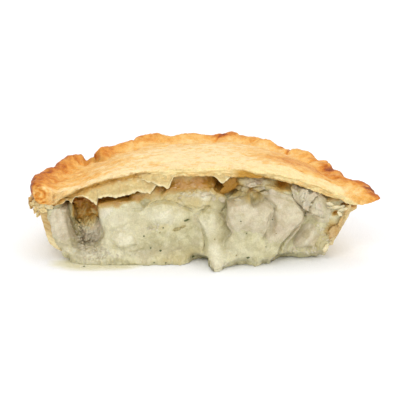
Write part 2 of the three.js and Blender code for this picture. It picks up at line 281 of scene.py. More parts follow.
@dataclass(frozen=True)
class Crease:
    """A line pressed into the cut face. The side to the left of its direction may stand over it."""

    line: Line
    depth: float
    width: float
    lip: float = 0.0
    reach: float = 3.0

    def stands(self, at: Array) -> Array:
        """How far the face stands out at each point because of it.

        Args:
            at: The points.

        Returns:
            One value for each point.
        """
        signed, size, share = line_distance(at[:, [0, 2]], self.line)
        ends = ease(0, 0.12, share) * ease(1, 0.88, share)
        groove = self.depth * bell(size / self.width)
        lip = self.lip * ease(0, self.width, signed) * np.exp(-size / self.reach)
        return ends * (lip - groove)


@dataclass(frozen=True)
class Sheet:
    """A torn sheet on the cut face, whose ragged edge stands over what is beside it.

    Its outline runs through points (x, z). Along fade, from the first point to the second, it
    rises from nothing to its full height, so that it grows out of the face on that side.
    """

    outline: Line
    stand: float
    fade: Line
    ragged: float  # how far its edge wanders
    edge: float  # how wide its edge is
    seed: int

    def stands(self, at: Array) -> Array:
        """How far the face stands out at each point because of it.

        Args:
            at: The points.

        Returns:
            One value for each point.
        """
        corners = np.array(self.outline)
        low, high = corners.min(axis=0) - 2, corners.max(axis=0) + 2.0
        flat = at[:, [0, 2]]
        near = np.all((flat > low) & (flat < high), axis=1) & (at[:, 1] < 10)
        total = np.zeros(len(at))
        if not near.any():
            return total
        spot = at[near] * (1, 0, 1)
        seeds = (self.seed + 1, self.seed + 2)
        warp = [grain(spot, 1.8, seed) + 0.5 * grain(spot, 0.7, seed + 5) for seed in seeds]
        signed = self._inside(flat[near] + self.ragged * np.stack(warp, axis=1))
        share = self.stand * ease(-0.15, self.edge, signed)
        share -= 0.5 * self.stand * bell((signed + 0.55) / 0.45)
        if self.fade:
            start, way = np.array(self.fade[0]), np.subtract(self.fade[1], self.fade[0])
            share = share * ease(0, 1, (flat[near] - start) @ way / (way @ way))
        total[near] = share
        return total

    def _inside(self, flat: Array) -> Array:
        """Distance from the outline, positive inside it.

        Args:
            flat: Points (x, z), one to a row.

        Returns:
            One value for each point.
        """
        closed = (*self.outline, self.outline[0])
        _, size, _ = line_distance(flat, closed)
        crossings = np.zeros(len(flat), dtype=int)
        for (x0, z0), (x1, z1) in zip(closed[:-1], closed[1:]):
            spans = (flat[:, 1] < z0) != (flat[:, 1] < z1)
            reach = (flat[:, 1] - z0) / (z1 - z0 if z1 != z0 else 1)
            crossings += spans & (flat[:, 0] < x0 + reach * (x1 - x0))
        return np.where(crossings % 2 == 1, size, -size)


# ---- the frame and the skins ----


@dataclass(frozen=True)
class PieFrame:
    """Where the pie's axis meets the surface it stands on, in the frame's millimetres."""

    axis: Array
    low: Array  # corners of the whole pie's box, from the axis
    high: Array
    corner_reach = 66.6  # from the axis to the lid's drawn-out corner
    rim_back = 61.9  # from the cut plane to the back of the lid's rim

    @classmethod
    def from_lid(cls, low: Vector, high: Vector) -> "PieFrame":
        """Works the axis out from the lid's box.

        Args:
            low: Lowest corner of the whole pie's box in the scene.
            high: Highest corner.

        Returns:
            The frame of the pie.
        """
        _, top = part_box("pastry_lid")
        axis = np.array([top[0] / MM - cls.corner_reach, top[1] / MM - cls.rim_back, 0.0])
        return cls(axis, np.array(low) / MM - axis, np.array(high) / MM - axis)

    def world(self, x: float, y: float, z: float) -> Vector:
        """A place given from the pie's axis, as a place in the scene in metres."""
        return Vector((self.axis + (x, y, z)) * MM)


class Skin:
    """The points of a mesh in millimetres from the pie's axis, moved all together."""

    def __init__(self, piece: Piece, pie: PieFrame) -> None:
        """Reads the points and normals of a piece.

        Args:
            piece: The piece.
            pie: The frame of the pie.
        """
        self.piece = piece
        self.pie = pie
        self.at = self._read(piece.data.vertices, "co") / MM - pie.axis
        self.normal = self._read(piece.data.vertex_normals, "vector")

    @staticmethod
    def _read(points: object, what: str) -> Array:
        """One vector for each point of the mesh.

        Args:
            points: The mesh's points or normals.
            what: Name of the vector that is read.

        Returns:
            The vectors, one to a row.
        """
        flat = np.empty(3 * len(points))
        points.foreach_get(what, flat)
        return flat.reshape(-1, 3)

    def modelled(self) -> Array:
        """The points as a new primitive has them, from its own middle and in its own size."""
        return (self.at + self.pie.axis) * MM

    def polar(self) -> tuple[Array, Array]:
        """Distance of each point from the pie's axis, and its angle from the right end in degrees."""
        x, y, _ = self.at.T
        return np.hypot(x, y), np.degrees(np.arctan2(np.abs(y), x))

    def swell(self, amount: Array) -> None:
        """Moves each point out along its normal."""
        self.at = self.at + self.normal * amount[:, None]

    def push(self, way: tuple[float, float, float], amount: Array) -> None:
        """Moves each point along one direction."""
        self.at = self.at + np.array(way) * amount[:, None]

    def settle(self) -> None:
        """Keeps the points in the pie's box, writes them back and reads the new normals."""
        mesh = self.piece.data
        self.at = np.clip(self.at, self.pie.low, self.pie.high)
        mesh.vertices.foreach_set("co", ((self.at + self.pie.axis) * MM).ravel())
        mesh.update()
        self.normal = self._read(mesh.vertex_normals, "vector")

    def paint(self, mark: Mark, values: Array | float) -> None:
        """Keeps one number from 0 to 1 for each point, which the finish reads by its mark.

        Args:
            mark: What the number stands for.
            values: The numbers, or one for all the points.
        """
        mesh = self.piece.data
        values = values + np.zeros(len(self.at))
        layer = mesh.attributes.get(mark.value) or mesh.attributes.new(mark.value, "FLOAT", "POINT")
        layer.data.foreach_set("value", np.clip(values, 0.0, 1.0).astype(np.float32))


def select_only(piece: Piece) -> None:
    """Makes one object the only selected and the active one.

    Args:
        piece: The object.
    """
    bpy.ops.object.select_all(action="DESELECT")
    piece.select_set(True)
    bpy.context.view_layer.objects.active = piece


def new_shape(add: Callable, **settings: object) -> Piece:
    """Adds an object by one of Blender's operators, with nothing else selected.

    Args:
        add: The operator.
        settings: What it is called with.

    Returns:
        The new object, which is the active one.
    """
    bpy.ops.object.select_all(action="DESELECT")
    add(**settings)
    return bpy.context.active_object


def copy_solids(frame: dict, nodes: list[str], name: str, fatten: float) -> Piece:
    """Copies solids into one new piece with closed, welded surfaces.

    Args:
        frame: The loaded frame.
        nodes: Names of the solids.
        name: Name of the new piece.
        fatten: How far the surfaces move outwards, in millimetres.

    Returns:
        The new piece.
    """
    bpy.ops.object.select_all(action="DESELECT")
    for node in nodes:
        frame["nodes"][node].select_set(True)
    bpy.context.view_layer.objects.active = frame["nodes"][nodes[0]]
    bpy.ops.object.duplicate()
    if len(nodes) > 1:
        bpy.ops.object.join()
    piece = bpy.context.view_layer.objects.active
    bpy.ops.object.parent_clear(type="CLEAR_KEEP_TRANSFORM")
    piece.name = name
    piece.data.name = name
    piece.data.materials.clear()
    for key in [key for key in piece.keys() if key.startswith("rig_")]:
        del piece[key]
    bpy.ops.object.mode_set(mode="EDIT")
    bpy.ops.mesh.select_all(action="SELECT")
    bpy.ops.mesh.remove_doubles(threshold=0.002 * MM)
    bpy.ops.transform.shrink_fatten(value=fatten * MM)
    bpy.ops.object.mode_set(mode="OBJECT")
    return piece


def apply_modifier(piece: Piece, kind: str, **settings: object) -> None:
    """Adds a modifier with its settings and applies it.

    Args:
        piece: The piece.
        kind: The modifier's type.
        settings: Its settings by name.
    """
    select_only(piece)
    modifier = piece.modifiers.new(kind.title(), kind)
    for setting, value in settings.items():
        setattr(modifier, setting, value)
    bpy.ops.object.modifier_apply(modifier=modifier.name)


def fine_skin(piece: Piece, voxel: float, rounds: int) -> None:
    """Gives a closed piece an even fine mesh, then rounds its edges.

    Args:
        piece: The piece.
        voxel: Size of its new faces in millimetres.
        rounds: How many times it is smoothed.
    """
    apply_modifier(piece, "REMESH", mode="VOXEL", voxel_size=voxel * MM, use_smooth_shade=True)
    apply_modifier(piece, "SMOOTH", factor=0.5, iterations=rounds)


def refine_cut(piece: Piece, pie: PieFrame, deep: float, hidden: float) -> None:
    """Thins out the faces that lie behind the cut, and splits those that show there.

    Args:
        piece: A piece with even faces.
        pie: The frame of the pie.
        deep: How far behind the cut faces still show, in millimetres.
        hidden: Share of all the faces that is kept, the ones that show among them.
    """
    depth = Skin(piece, pie).at[:, 1]
    if hidden < 1.0:
        behind = piece.vertex_groups.new(name="behind")
        behind.add(np.flatnonzero(depth > deep + 1.0).tolist(), 1.0, "REPLACE")
        apply_modifier(piece, "DECIMATE", ratio=hidden, vertex_group="behind")
    mesh = piece.data
    middles = np.empty(3 * len(mesh.polygons))
    mesh.polygons.foreach_get("center", middles)
    normals = np.empty(3 * len(mesh.polygons))
    mesh.polygons.foreach_get("normal", normals)
    depth = middles[1::3] / MM - pie.axis[1]
    shows = (depth < deep) & (normals[2::3] > -0.6)
    bpy.context.tool_settings.mesh_select_mode = (False, False, True)
    select_only(piece)
    bpy.ops.object.mode_set(mode="EDIT")
    bpy.ops.mesh.select_all(action="DESELECT")
    bpy.ops.object.mode_set(mode="OBJECT")
    mesh.polygons.foreach_set("select", shows)
    bpy.ops.object.mode_set(mode="EDIT")
    bpy.ops.mesh.subdivide(number_cuts=1)
    bpy.ops.object.mode_set(mode="OBJECT")


def join_pieces(pieces: list[Piece], name: str) -> Piece:
    """Joins several pieces into the first one.

    Args:
        pieces: The pieces.
        name: Name of what they become.

    Returns:
        The one piece.
    """
    bpy.ops.object.select_all(action="DESELECT")
    for piece in pieces:
        piece.select_set(True)
    bpy.context.view_layer.objects.active = pieces[0]
    bpy.ops.object.join()
    pieces[0].name = name
    pieces[0].data.name = name
    return pieces[0]


# ---- finishes ----


class Recipe:
    """Adds and wires the nodes of one material or node group."""

    def __init__(self, tree: Tree) -> None:
        """Starts from an empty node tree."""
        self.tree = tree
        tree.nodes.clear()

    def add(self, kind: str, **settings: object) -> bpy.types.Node:
        """Adds a node and sets its own settings.

        Args:
            kind: Its type.
            settings: Its settings by name.

        Returns:
            The node.
        """
        node = self.tree.nodes.new(kind)
        for setting, value in settings.items():
            setattr(node, setting, value)
        return node

    def join(self, value: object, socket: Socket) -> None:
        """Links a socket or sets a value.

        Args:
            value: A socket, or a plain value.
            socket: The input that takes it.
        """
        if isinstance(value, Socket):
            self.tree.links.new(value, socket)
        else:
            socket.default_value = value

    def feed(self, node: bpy.types.Node, **inputs: object) -> bpy.types.Node:
        """Sets or links inputs, named with _ for a space.

        Args:
            node: The node.
            inputs: Sockets or plain values by the input's name.

        Returns:
            The node.
        """
        for name, value in inputs.items():
            self.join(value, node.inputs[name.replace("_", " ")])
        return node

    def place(self, group: Tree, **inputs: object) -> Socket:
        """Adds a node group, feeds it and gives its only output."""
        node = self.add("ShaderNodeGroup", node_tree=group)
        return self.feed(node, **inputs).outputs[0]

    def mark(self, mark: Mark) -> Socket:
        """A number painted on the points."""
        return self.add("ShaderNodeAttribute", attribute_name=mark.value).outputs["Fac"]

    def math(self, operation: str, first: object, second: object) -> Socket:
        """One step of arithmetic.

        Args:
            operation: Its name.
            first: A socket or a number.
            second: A socket or a number.

        Returns:
            The result.
        """
        node = self.add("ShaderNodeMath", operation=operation)
        self.join(first, node.inputs[0])
        self.join(second, node.inputs[1])
        return node.outputs[0]

    def spread(
        self, value: Socket, low: object, high: object, least: object, most: object
    ) -> Socket:
        """Turns a range of a value into another range, softly and no further.

        Args:
            value: The value.
            low: Where its range starts.
            high: Where its range ends.
            least: What low becomes.
            most: What high becomes.

        Returns:
            The result.
        """
        node = self.add("ShaderNodeMapRange", interpolation_type="SMOOTHSTEP")
        self.feed(node, Value=value, From_Min=low, From_Max=high, To_Min=least, To_Max=most)
        return node.outputs["Result"]

    def blend(self, first: object, second: object, share: object) -> Socket:
        """Blends two colours.

        Args:
            first: Colour at share 0.
            second: Colour at share 1.
            share: How much of the second shows.

        Returns:
            The blended colour.
        """
        node = self.add("ShaderNodeMix", data_type="RGBA")
        for index, value in ((0, share), (6, first), (7, second)):
            self.join(value, node.inputs[index])
        return node.outputs[2]

    def ramp(self, value: object, stops: tuple[tuple[float, str], ...]) -> Socket:
        """A colour looked up along a row of colours.

        Args:
            value: Where along the row, from 0 to 1.
            stops: The row's places and colours.

        Returns:
            The colour.
        """
        node = self.add("ShaderNodeValToRGB")
        row = node.color_ramp
        while len(row.elements) < len(stops):
            row.elements.new(0.5)
        for element, (place, _) in zip(row.elements, stops):
            element.position = place
        for element, (_, colour) in zip(row.elements, stops):
            element.color = linear(colour)
        self.tree.links.new(value, node.inputs["Fac"])
        return node.outputs["Color"]


def new_group(
    name: str, inputs: dict[str, object], output: str, kind: str
) -> tuple[Recipe, dict[str, Socket], Socket]:
    """Starts a shader node group.

    Args:
        name: Its name.
        inputs: Names of its inputs with their usual values, where three numbers are a vector and
            four a colour.
        output: Name of its output.
        kind: Socket type of its output.

    Returns:
        The recipe that fills it, its inputs by name, and the socket to feed its output to.
    """
    tree = bpy.data.node_groups.new(name, "ShaderNodeTree")
    sizes = {3: "NodeSocketVector", 4: "NodeSocketColor"}
    for label, usual in inputs.items():
        type_name = sizes[len(usual)] if isinstance(usual, tuple) else "NodeSocketFloat"
        socket = tree.interface.new_socket(name=label, in_out="INPUT", socket_type=type_name)
        socket.default_value = usual
    tree.interface.new_socket(name=output, in_out="OUTPUT", socket_type=kind)
    recipe = Recipe(tree)
    given = recipe.add("NodeGroupInput")
    result = recipe.add("NodeGroupOutput")
    return recipe, {label: given.outputs[label] for label in inputs}, result.inputs[output]


@dataclass(frozen=True)
class Effects:
    """The node groups that the finishes share."""

    mottle: Tree
    grit: Tree
    relief: Tree

    @classmethod
    def build(cls) -> "Effects":
        """Makes every group once."""
        return cls(cls._mottle(), cls._grit(), cls._relief())

    @staticmethod
    def _mottle() -> Tree:
        """Cloudy patches from 0 to 1, by their size, how far they are drawn out and their range.

        Returns:
            The node group.
        """
        usual = {"Size": 0.003, "Stretch": (1, 1, 1), "Detail": 5.0}
        usual |= {"Low": 0.35, "High": 0.65, "Warp": 0.0}
        r, given, result = new_group("mottle", usual, "Share", "NodeSocketFloat")
        place = r.add("ShaderNodeTexCoord").outputs["Object"]
        drawn = r.add("ShaderNodeVectorMath", operation="DIVIDE")
        r.join(place, drawn.inputs[0])
        r.join(given["Stretch"], drawn.inputs[1])
        scale = r.math("DIVIDE", 1, given["Size"])
        noise = r.add("ShaderNodeTexNoise")
        r.feed(noise, Vector=drawn.outputs[0], Scale=scale, Detail=given["Detail"], Roughness=0.6)
        r.feed(noise, Distortion=given["Warp"])
        r.join(r.spread(noise.outputs["Fac"], given["Low"], given["High"], 0, 1), result)
        return r.tree

    @staticmethod
    def _grit() -> Tree:
        """Fine uneven darker and lighter spots over a colour.

        Returns:
            The node group.
        """
        usual = {"Colour": (0.8, 0.8, 0.8, 1), "Size": 0.0006, "Dark": 0.9, "Light": 1.05}
        r, given, result = new_group("grit", usual, "Colour", "NodeSocketColor")
        place = r.add("ShaderNodeTexCoord").outputs["Object"]
        noise = r.add("ShaderNodeTexNoise")
        r.feed(noise, Vector=place, Scale=r.math("DIVIDE", 1, given["Size"]), Detail=4)
        tone = r.spread(noise.outputs["Fac"], 0.3, 0.7, given["Dark"], given["Light"])
        scaled = r.add("ShaderNodeVectorMath", operation="SCALE")
        r.join(given["Colour"], scaled.inputs[0])
        r.join(tone, scaled.inputs["Scale"])
        r.join(scaled.outputs[0], result)
        return r.tree

    @staticmethod
    def _relief() -> Tree:
        """Small relief from three heights, the fine one over the middle over the coarse one.

        Returns:
            The node group.
        """
        usual = {"Coarse": 0.5, "Middle": 0.5, "Fine": 0.5, "Depth": 0.0005, "Strength": 0.4}
        r, given, result = new_group("relief", usual, "Normal", "NodeSocketVector")
        normal = None
        for height, share in (("Coarse", 1), ("Middle", 0.6), ("Fine", 0.3)):
            bump = r.add("ShaderNodeBump")
            distance = r.math("MULTIPLY", given["Depth"], share)
            r.feed(bump, Height=given[height], Distance=distance, Strength=given["Strength"])
            if normal is not None:
                r.join(normal, bump.inputs["Normal"])
            normal = bump.outputs["Normal"]
        r.join(normal, result)
        return r.tree


@dataclass(frozen=True)
class Body:
    """How a food scatters and reflects light, the same all over."""

    roughness: float
    scatter: float
    reach: float  # how far light travels inside, in millimetres
    tint: tuple[float, float, float]
    gloss: float = 0.0
    specular: float = 0.4


@dataclass(frozen=True)
class Finish:
    """A food's finish: its name and body. Each kind paints its own colour and relief."""

    name: str
    body: Body

    def material(self, effects: Effects) -> bpy.types.Material:
        """Builds the material with its shader in it.

        Args:
            effects: The shared node groups.

        Returns:
            The material.
        """
        made = bpy.data.materials.new(self.name)
        made.use_nodes = True
        r = Recipe(made.node_tree)
        colour, relief, clear = self.paint(r, effects)
        body = self.body
        shade = r.add("ShaderNodeBsdfPrincipled")
        r.feed(shade, Base_Color=colour, Normal=relief, Alpha=clear, Roughness=body.roughness)
        r.feed(shade, Subsurface_Weight=body.scatter, Subsurface_Scale=body.reach * MM)
        r.feed(shade, Subsurface_Radius=body.tint, Specular_IOR_Level=body.specular)
        r.feed(shade, Coat_Weight=body.gloss, Coat_Roughness=0.13)
        r.feed(r.add("ShaderNodeOutputMaterial"), Surface=shade.outputs[0])
        return made

    def paint(self, r: Recipe, effects: Effects) -> Painted:
        """Gives the colour, the relief and how solid the surface is."""
        raise NotImplementedError


@dataclass(frozen=True)
class Crust(Finish):
    """Baked pastry, from pale dough over gold to dark brown."""

    stops: tuple[tuple[float, str], ...]
    dough: str
    amber: str
    # tones laid over the baked colour: pale for paler crust and painted highlights, the last one for
    # painted shade
    pale: str = "F8EBC8"
    dim: str = "C9B27A"

    def paint(self, r: Recipe, effects: Effects) -> Painted:
        """Colour by how baked it is, with streaks, mottles and crumbs.

        Args:
            r: The recipe of the material.
            effects: The shared node groups.

        Returns:
            The colour, the relief and how solid the surface is.
        """
        mottle = r.place(effects.mottle, Size=2.6 * MM, Detail=6, Low=0.3, High=0.7)
        drawn = (4, 1.2, 2)
        streak = r.place(effects.mottle, Size=1.0 * MM, Stretch=drawn, Low=0.34, High=0.64, Warp=0.5)
        crumb = r.place(effects.mottle, Size=0.45 * MM, Detail=3, Low=0.25, High=0.75)
        level = r.math("ADD", r.mark(Mark.BROWN), r.spread(mottle, 0, 1, -0.1, 0.12))
        grain_line = r.math("MULTIPLY", r.mark(Mark.FIBRE), r.spread(streak, 0, 1, 0.08, -0.06))
        level = r.math("ADD", level, grain_line)
        level = r.math("ADD", level, r.spread(crumb, 0, 1, 0.03, -0.03))
        baked = r.ramp(level, self.stops)
        inside = r.blend(linear(self.dough), baked, r.spread(mottle, 0.2, 1, 0, 0.5))
        colour = r.blend(baked, inside, r.mark(Mark.DOUGH))
        # painted shade, amber for juice and painted shade in recesses, and pale for paler crust and
        # painted highlights
        for mark, tone in ((Mark.DIM, self.dim), (Mark.AMBER, self.amber), (Mark.PALE, self.pale)):
            colour = r.blend(colour, linear(tone), r.mark(mark))
        colour = r.place(effects.grit, Colour=colour, Size=0.5 * MM, Dark=0.92, Light=1.05)
        relief = r.place(
            effects.relief, Coarse=mottle, Middle=streak, Fine=crumb, Depth=0.45 * MM, Strength=0.55
        )
        return colour, relief, 1.0


@dataclass(frozen=True)
class Creamy(Finish):
    """Cream sauce, or the chicken in it, stained with juice where it is marked amber. The amber mark also
    paints shade and warm reflected light in the hollows under the lid, and the pale mark paints highlights
    as well as paler cream.
    """

    pale: str
    deep: str
    # tone of the pale mark, for paler cream and meat and for painted highlights
    highlight_and_pale: str
    warm: str
    pink: str
    # tone of painted shade
    dim: str
    juice_and_shade_tones: tuple[tuple[float, str], ...]
    fibres: float = 0.0

    def paint(self, r: Recipe, effects: Effects) -> Painted:
        """Colour by its marks, some of which paint shade and highlights, with clouds and small flecks.

        Args:
            r: The recipe of the material.
            effects: The shared node groups.

        Returns:
            The colour, the relief and how solid the surface is.
        """
        cloud = r.place(effects.mottle, Size=3.2 * MM, Detail=7, Low=0.36, High=0.66)
        speck = r.place(effects.mottle, Size=0.7 * MM, Detail=4, Low=0.25, High=0.75)
        colour = r.blend(linear(self.pale), linear(self.deep), r.spread(cloud, 0, 1, 0, 0.85))
        fibre = r.math("MULTIPLY", r.mark(Mark.FIBRE), self.fibres)
        colour = r.blend(colour, linear(self.deep), fibre)
        # the pale and painted-shade tones paint highlights and shade on the face
        tones = {Mark.WARM: self.warm, Mark.PINK: self.pink, Mark.PALE: self.highlight_and_pale, Mark.DIM: self.dim}
        for mark, tone in tones.items():
            colour = r.blend(colour, linear(tone), r.mark(mark))
        tinted = r.ramp(r.mark(Mark.AMBER), self.juice_and_shade_tones)
        colour = r.blend(colour, tinted, r.spread(r.mark(Mark.AMBER), 0.02, 0.3, 0, 1))
        colour = r.place(effects.grit, Colour=colour, Size=0.5 * MM, Dark=0.9, Light=1.06)
        relief = r.place(
            effects.relief, Coarse=cloud, Middle=fibre, Fine=speck, Depth=0.5 * MM, Strength=0.4
        )
        return colour, relief, 1.0


@dataclass(frozen=True)
class Mottled(Finish):
    """A finish of two close colours, fading out where it is marked thin."""

    light: str
    shade: str
    size: float = 0.7

    def paint(self, r: Recipe, effects: Effects) -> Painted:
        """Two close colours with fine relief.

        Args:
            r: The recipe of the material.
            effects: The shared node groups.

        Returns:
            The colour, the relief and how solid the surface is.
        """
        mottle = r.place(effects.mottle, Size=self.size * MM, Detail=3, Low=0.35, High=0.65)
        colour = r.blend(linear(self.light), linear(self.shade), mottle)
        relief = r.place(
            effects.relief, Coarse=mottle, Middle=mottle, Fine=mottle, Depth=0.1 * MM, Strength=0.3
        )
        return colour, relief, r.math("SUBTRACT", 1, r.mark(Mark.THIN))


# amber tones from faint to full: juice stains, and painted shade with warm reflected light under the lid
JUICE_AND_SHADE_TONES = ((0, "CFC490"), (0.3, "C2A868"), (0.6, "B88E40"), (0.85, "B07E2A"), (1, "A2691A"))
LID_CRUST = Crust(
    "lid_crust",
    Body(0.5, 0.12, 1.2, (1, 0.6, 0.3), 0.06, 0.25),
    stops=(
        (0, "FADEA8"), (0.2, "F4C67C"), (0.38, "EDB158"), (0.55, "E0963C"), (0.72, "CC781E"),
        (0.86, "B25A12"), (1, "8A420E"),
    ),
    dough="F2DDA0",
    amber="C8963C",
    pale="F8E8BA",
)
CASE_CRUST = Crust(
    "case_crust",
    Body(0.5, 0.2, 1.2, (1, 0.7, 0.4), 0.12),
    stops=((0, "EFE2BC"), (0.3, "E2C88C"), (0.6, "CC9F5A"), (0.85, "A87034"), (1, "804C20")),
    dough="E6D29A",
    amber="AA7A26",
)
CREAM = Creamy(
    "creamy_coat",
    Body(0.34, 0.3, 1.5, (1, 0.78, 0.5), 0.6),
    pale="CFC89E", deep="B5AC80", highlight_and_pale="E6E0C4", warm="C8B57B", pink="C4B198", dim="8A7C4A",
    juice_and_shade_tones=JUICE_AND_SHADE_TONES,
)
CHICKEN = Creamy(
    "chicken_meat",
    Body(0.42, 0.25, 1.3, (1, 0.7, 0.5), 0.25),
    pale="D2C8A8", deep="BAAE88", highlight_and_pale="E2DBC2", warm="C4B186", pink="C3AC97", dim="7E6C40",
    juice_and_shade_tones=JUICE_AND_SHADE_TONES,
    fibres=0.5,
)
MATT = Body(0.5, 0, 1, (1, 1, 1))
HERB = Mottled("herb_leaf", MATT, light="68703E", shade="3E4628", size=0.4)
WILTED = Mottled("wilted_herb", MATT, light="B0A26C", shade="8A7C50")
THIN_SAUCE = Mottled(
    "thin_film", Body(0.25, 0, 2, (1, 0.9, 0.7), 0.3), light="F9F2CC", shade="F2E8B4", size=3.0
)
TABLE = Mottled(
    "white_table", Body(0.7, 0, 1, (1, 1, 1), 0, 0.2), light="FBFCFE", shade="FAFBFD"
)


# ---- sub-assemblies ----


@dataclass
class Assembly:
    """A part of the pie: where it is, the groups that its finish shares and the piece it makes."""

    pie: PieFrame
    effects: Effects
    piece: Piece = field(init=False, default=None)

    def settle_piece(self, piece: Piece, finish: Finish, slot: str, *nodes: str) -> None:
        """Gives a piece its finish and its place in the frame.

        Args:
            piece: The piece.
            finish: Its finish.
            slot: Name of a material slot, which is not used.
            nodes: Solids that it stands for.
        """
        made = bpy.data.materials.get(finish.name) or finish.material(self.effects)
        piece.data.materials.clear()
        piece.data.materials.append(made)
        select_only(piece)
        bpy.ops.object.shade_smooth()
        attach(piece, "root")
        if nodes:
            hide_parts(*nodes)
        LOG.info("%s: %d faces", piece.name, len(piece.data.polygons))


@dataclass(frozen=True)
class Crimp:
    """One push of the lid's edge: its angle, how far out and how wide it is in degrees."""

    at: float
    out: float
    half: float


@dataclass(frozen=True)
class Bake:
    """A place on the lid, seen from above, that is baked darker, or paler if it is below 0."""

    x: float
    y: float
    wide: float
    deep: float
    level: float


@dataclass
class Lid(Assembly):
    """The domed top crust with its crimped and browned edge."""

    crown: float = 37.2  # height of the dome's middle
    drop: float = 10.3  # from there to the valley inside the rim
    power: float = 2.6
    valley: float = 49.5  # radius of the valley
    rim: float = 57.6  # mean radius of the crimped edge
    tilt: float = 0.03  # rise from left to right
    crimps: tuple[Crimp, ...] = rows(
        Crimp,
        (0, 8, 4), (7, 5.4, 5.5), (16, -1.6, 4), (26, -1.6, 3), (31, -0.4, 4), (37, -1.6, 2.6),
        (46, -0.2, 7), (56, -1.6, 2.4), (64, 0.4, 6), (88, 4.4, 25), (85, -1, 2.6), (77, 1.8, 5),
        (100, -0.9, 2.4), (107, 2.6, 7), (127, 2, 4), (136, -5.4, 3), (150, 1.4, 6), (157, -0.8, 2.2),
        (166, 2.4, 7), (175, 2.4, 6),
    )
    folds: tuple[tuple[float, float, float], ...] = (  # angle, strength and how dark its bottom is
        (15, 0.5, 0.1), (26, 0.6, 0.05), (37, 0.7, 0.1), (49.5, 0.8, 0.36), (58, 0.5, 0.1), (71, 0.3, 0),
        (85, 0.4, 0.1), (99, 0.3, 0), (117, 0.4, 0), (136, 1, 0.1), (147, 0.9, 0.1), (157, 0.9, 0.1),
        (171, 0.9, 0.1),
    )
    bakes: tuple[Bake, ...] = rows(
        Bake,
        (-21.6, 43.2, 0.9, 0.7, 0.6), (-43.2, 30.2, 1.5, 1.2, 0.16), (-47.5, 33, 3, 3, 0.08),
        (-38, 39, 2.6, 2.6, 0.12), (-37.5, 32.5, 4, 2.6, 0.16), (-32, 42, 4, 3, 0.22),
        (-50, 24, 5, 5, 0.04), (-13, 53.5, 8, 3, 0.2), (9.6, 57, 3.6, 2, 0.55), (23, 52, 6, 3, 0.1),
        (30, 48, 5, 2.5, 0.15), (41, 38, 4, 2, 0.05), (48.2, 21, 2.6, 2.6, 0.7), (47.3, 15, 3.4, 3, 0.28),
        (62.4, 5.5, 2.4, 2.4, 0.4), (58, 9, 4, 3, 0.25), (63.4, 1.5, 2.4, 2, 0.3),
        (61.6, 7.1, 0.5, 0.6, -0.8), (-52, 10, 5, 5, 0.1), (-40, 20, 9, 4, 0.1), (-22, 14, 9, 2, 0.14),
        (-14, 4, 5, 2, 0.12), (31, 14, 13, 7, 0.33), (36, 24, 12, 9, 0.1), (51, 10, 5, 4, 0.1),
        (30, 1, 17, 3.4, -0.1), (5, 6, 22, 9, -0.1),
    )
    swirl: tuple[float, float] = (-56.9, 26.6)  # middle of the swirl in the left corner: x and z
    coil: float = 1.9  # from one ridge of the swirl to the next
    notch: float = 40.5  # y from which the notch in the back rim is pressed in
    strip: float = 5.2  # width of the paler strip that rolls down into the cut at the right

    def height(self, x: Array, y: Array) -> Array:
        """Height of the dome's top."""
        return self.crown - self.drop * (np.hypot(x, y) / self.valley) ** self.power + self.tilt * x

    def edge(self, degrees: Array) -> Array:
        """Radius of the crimped edge at an angle."""
        return self.rim + sum(c.out * bell((degrees - c.at) / c.half) for c in self.crimps)

    def build(self, frame: dict) -> None:
        """Makes the fine skin from the solid.

        Args:
            frame: The loaded frame.
        """
        self.piece = copy_solids(frame, ["pastry_lid"], "crust_lid", 0.1)
        fine_skin(self.piece, 0.48, 3)
        refine_cut(self.piece, self.pie, 3, 1)

    def dress(self) -> None:
        """Wrinkles the dome, folds and dents the edge, frays the cut and browns it all."""
        skin = Skin(self.piece, self.pie)
        dents = self._dents(skin)
        skin.swell(self._ridges(skin))
        skin.at = skin.at + dents
        skin.settle()
        self._fray(skin)
        self._bake(skin)
        self.settle_piece(self.piece, LID_CRUST, "lid_pastry", "pastry_lid")

    def _rim(self, radius: Array) -> Array:
        """How much a place belongs to the rim, by its distance from the axis."""
        return ease(self.valley - 3, self.valley + 3, radius)

    def _left(self, x: Array) -> Array:
        """How much a place belongs to the stretch at the left where the cut hangs in plies."""
        return ease(-17, -24, x) * ease(-55, -52, x)

    def _ridges(self, skin: Skin) -> Array:
        """Long fine wrinkles over the dome, and folds round the edge.

        Args:
            skin: The lid's points.

        Returns:
            How far each point swells.
        """
        radius, _ = skin.polar()
        rim = self._rim(radius)
        top = ease(0.25, 0.6, skin.normal[:, 2])
        flat = skin.at * (1, 1, 0)
        bent = self._bent(skin)
        wrinkle = 0.34 * grain(bent, (10, 1.7, 60), 3) + 0.2 * grain(bent, (5, 0.9, 60), 5)
        furrow = -0.5 * ease(0.12, 0, np.abs(grain(bent, (13, 2.2, 80), 9)))
        wrinkle += furrow * ease(-0.3, 0.3, grain(flat, 8, 12))
        wrinkle += 0.3 * layered_grain(flat, 6, 14)
        swell = top * (1 - 0.75 * rim) * wrinkle
        swell += rim * (0.9 * layered_grain(skin.at, 5, 21) + 0.16 * grain(skin.at, 1.1, 25))
        swell *= 1 - 0.5 * ease(12, 24, skin.at[:, 0]) * (1 - rim)
        near = ease(self.valley - 4, self.valley + 1, radius)
        for index, (_, strength, _) in enumerate(self.folds):
            across = self._across(skin, index)
            lip = ease(0, 0.6, across) * np.exp(-np.maximum(across, 0) / 3.5)
            swell += strength * near * (0.85 * lip - 0.65 * bell(across / 0.7)) * top
        return swell

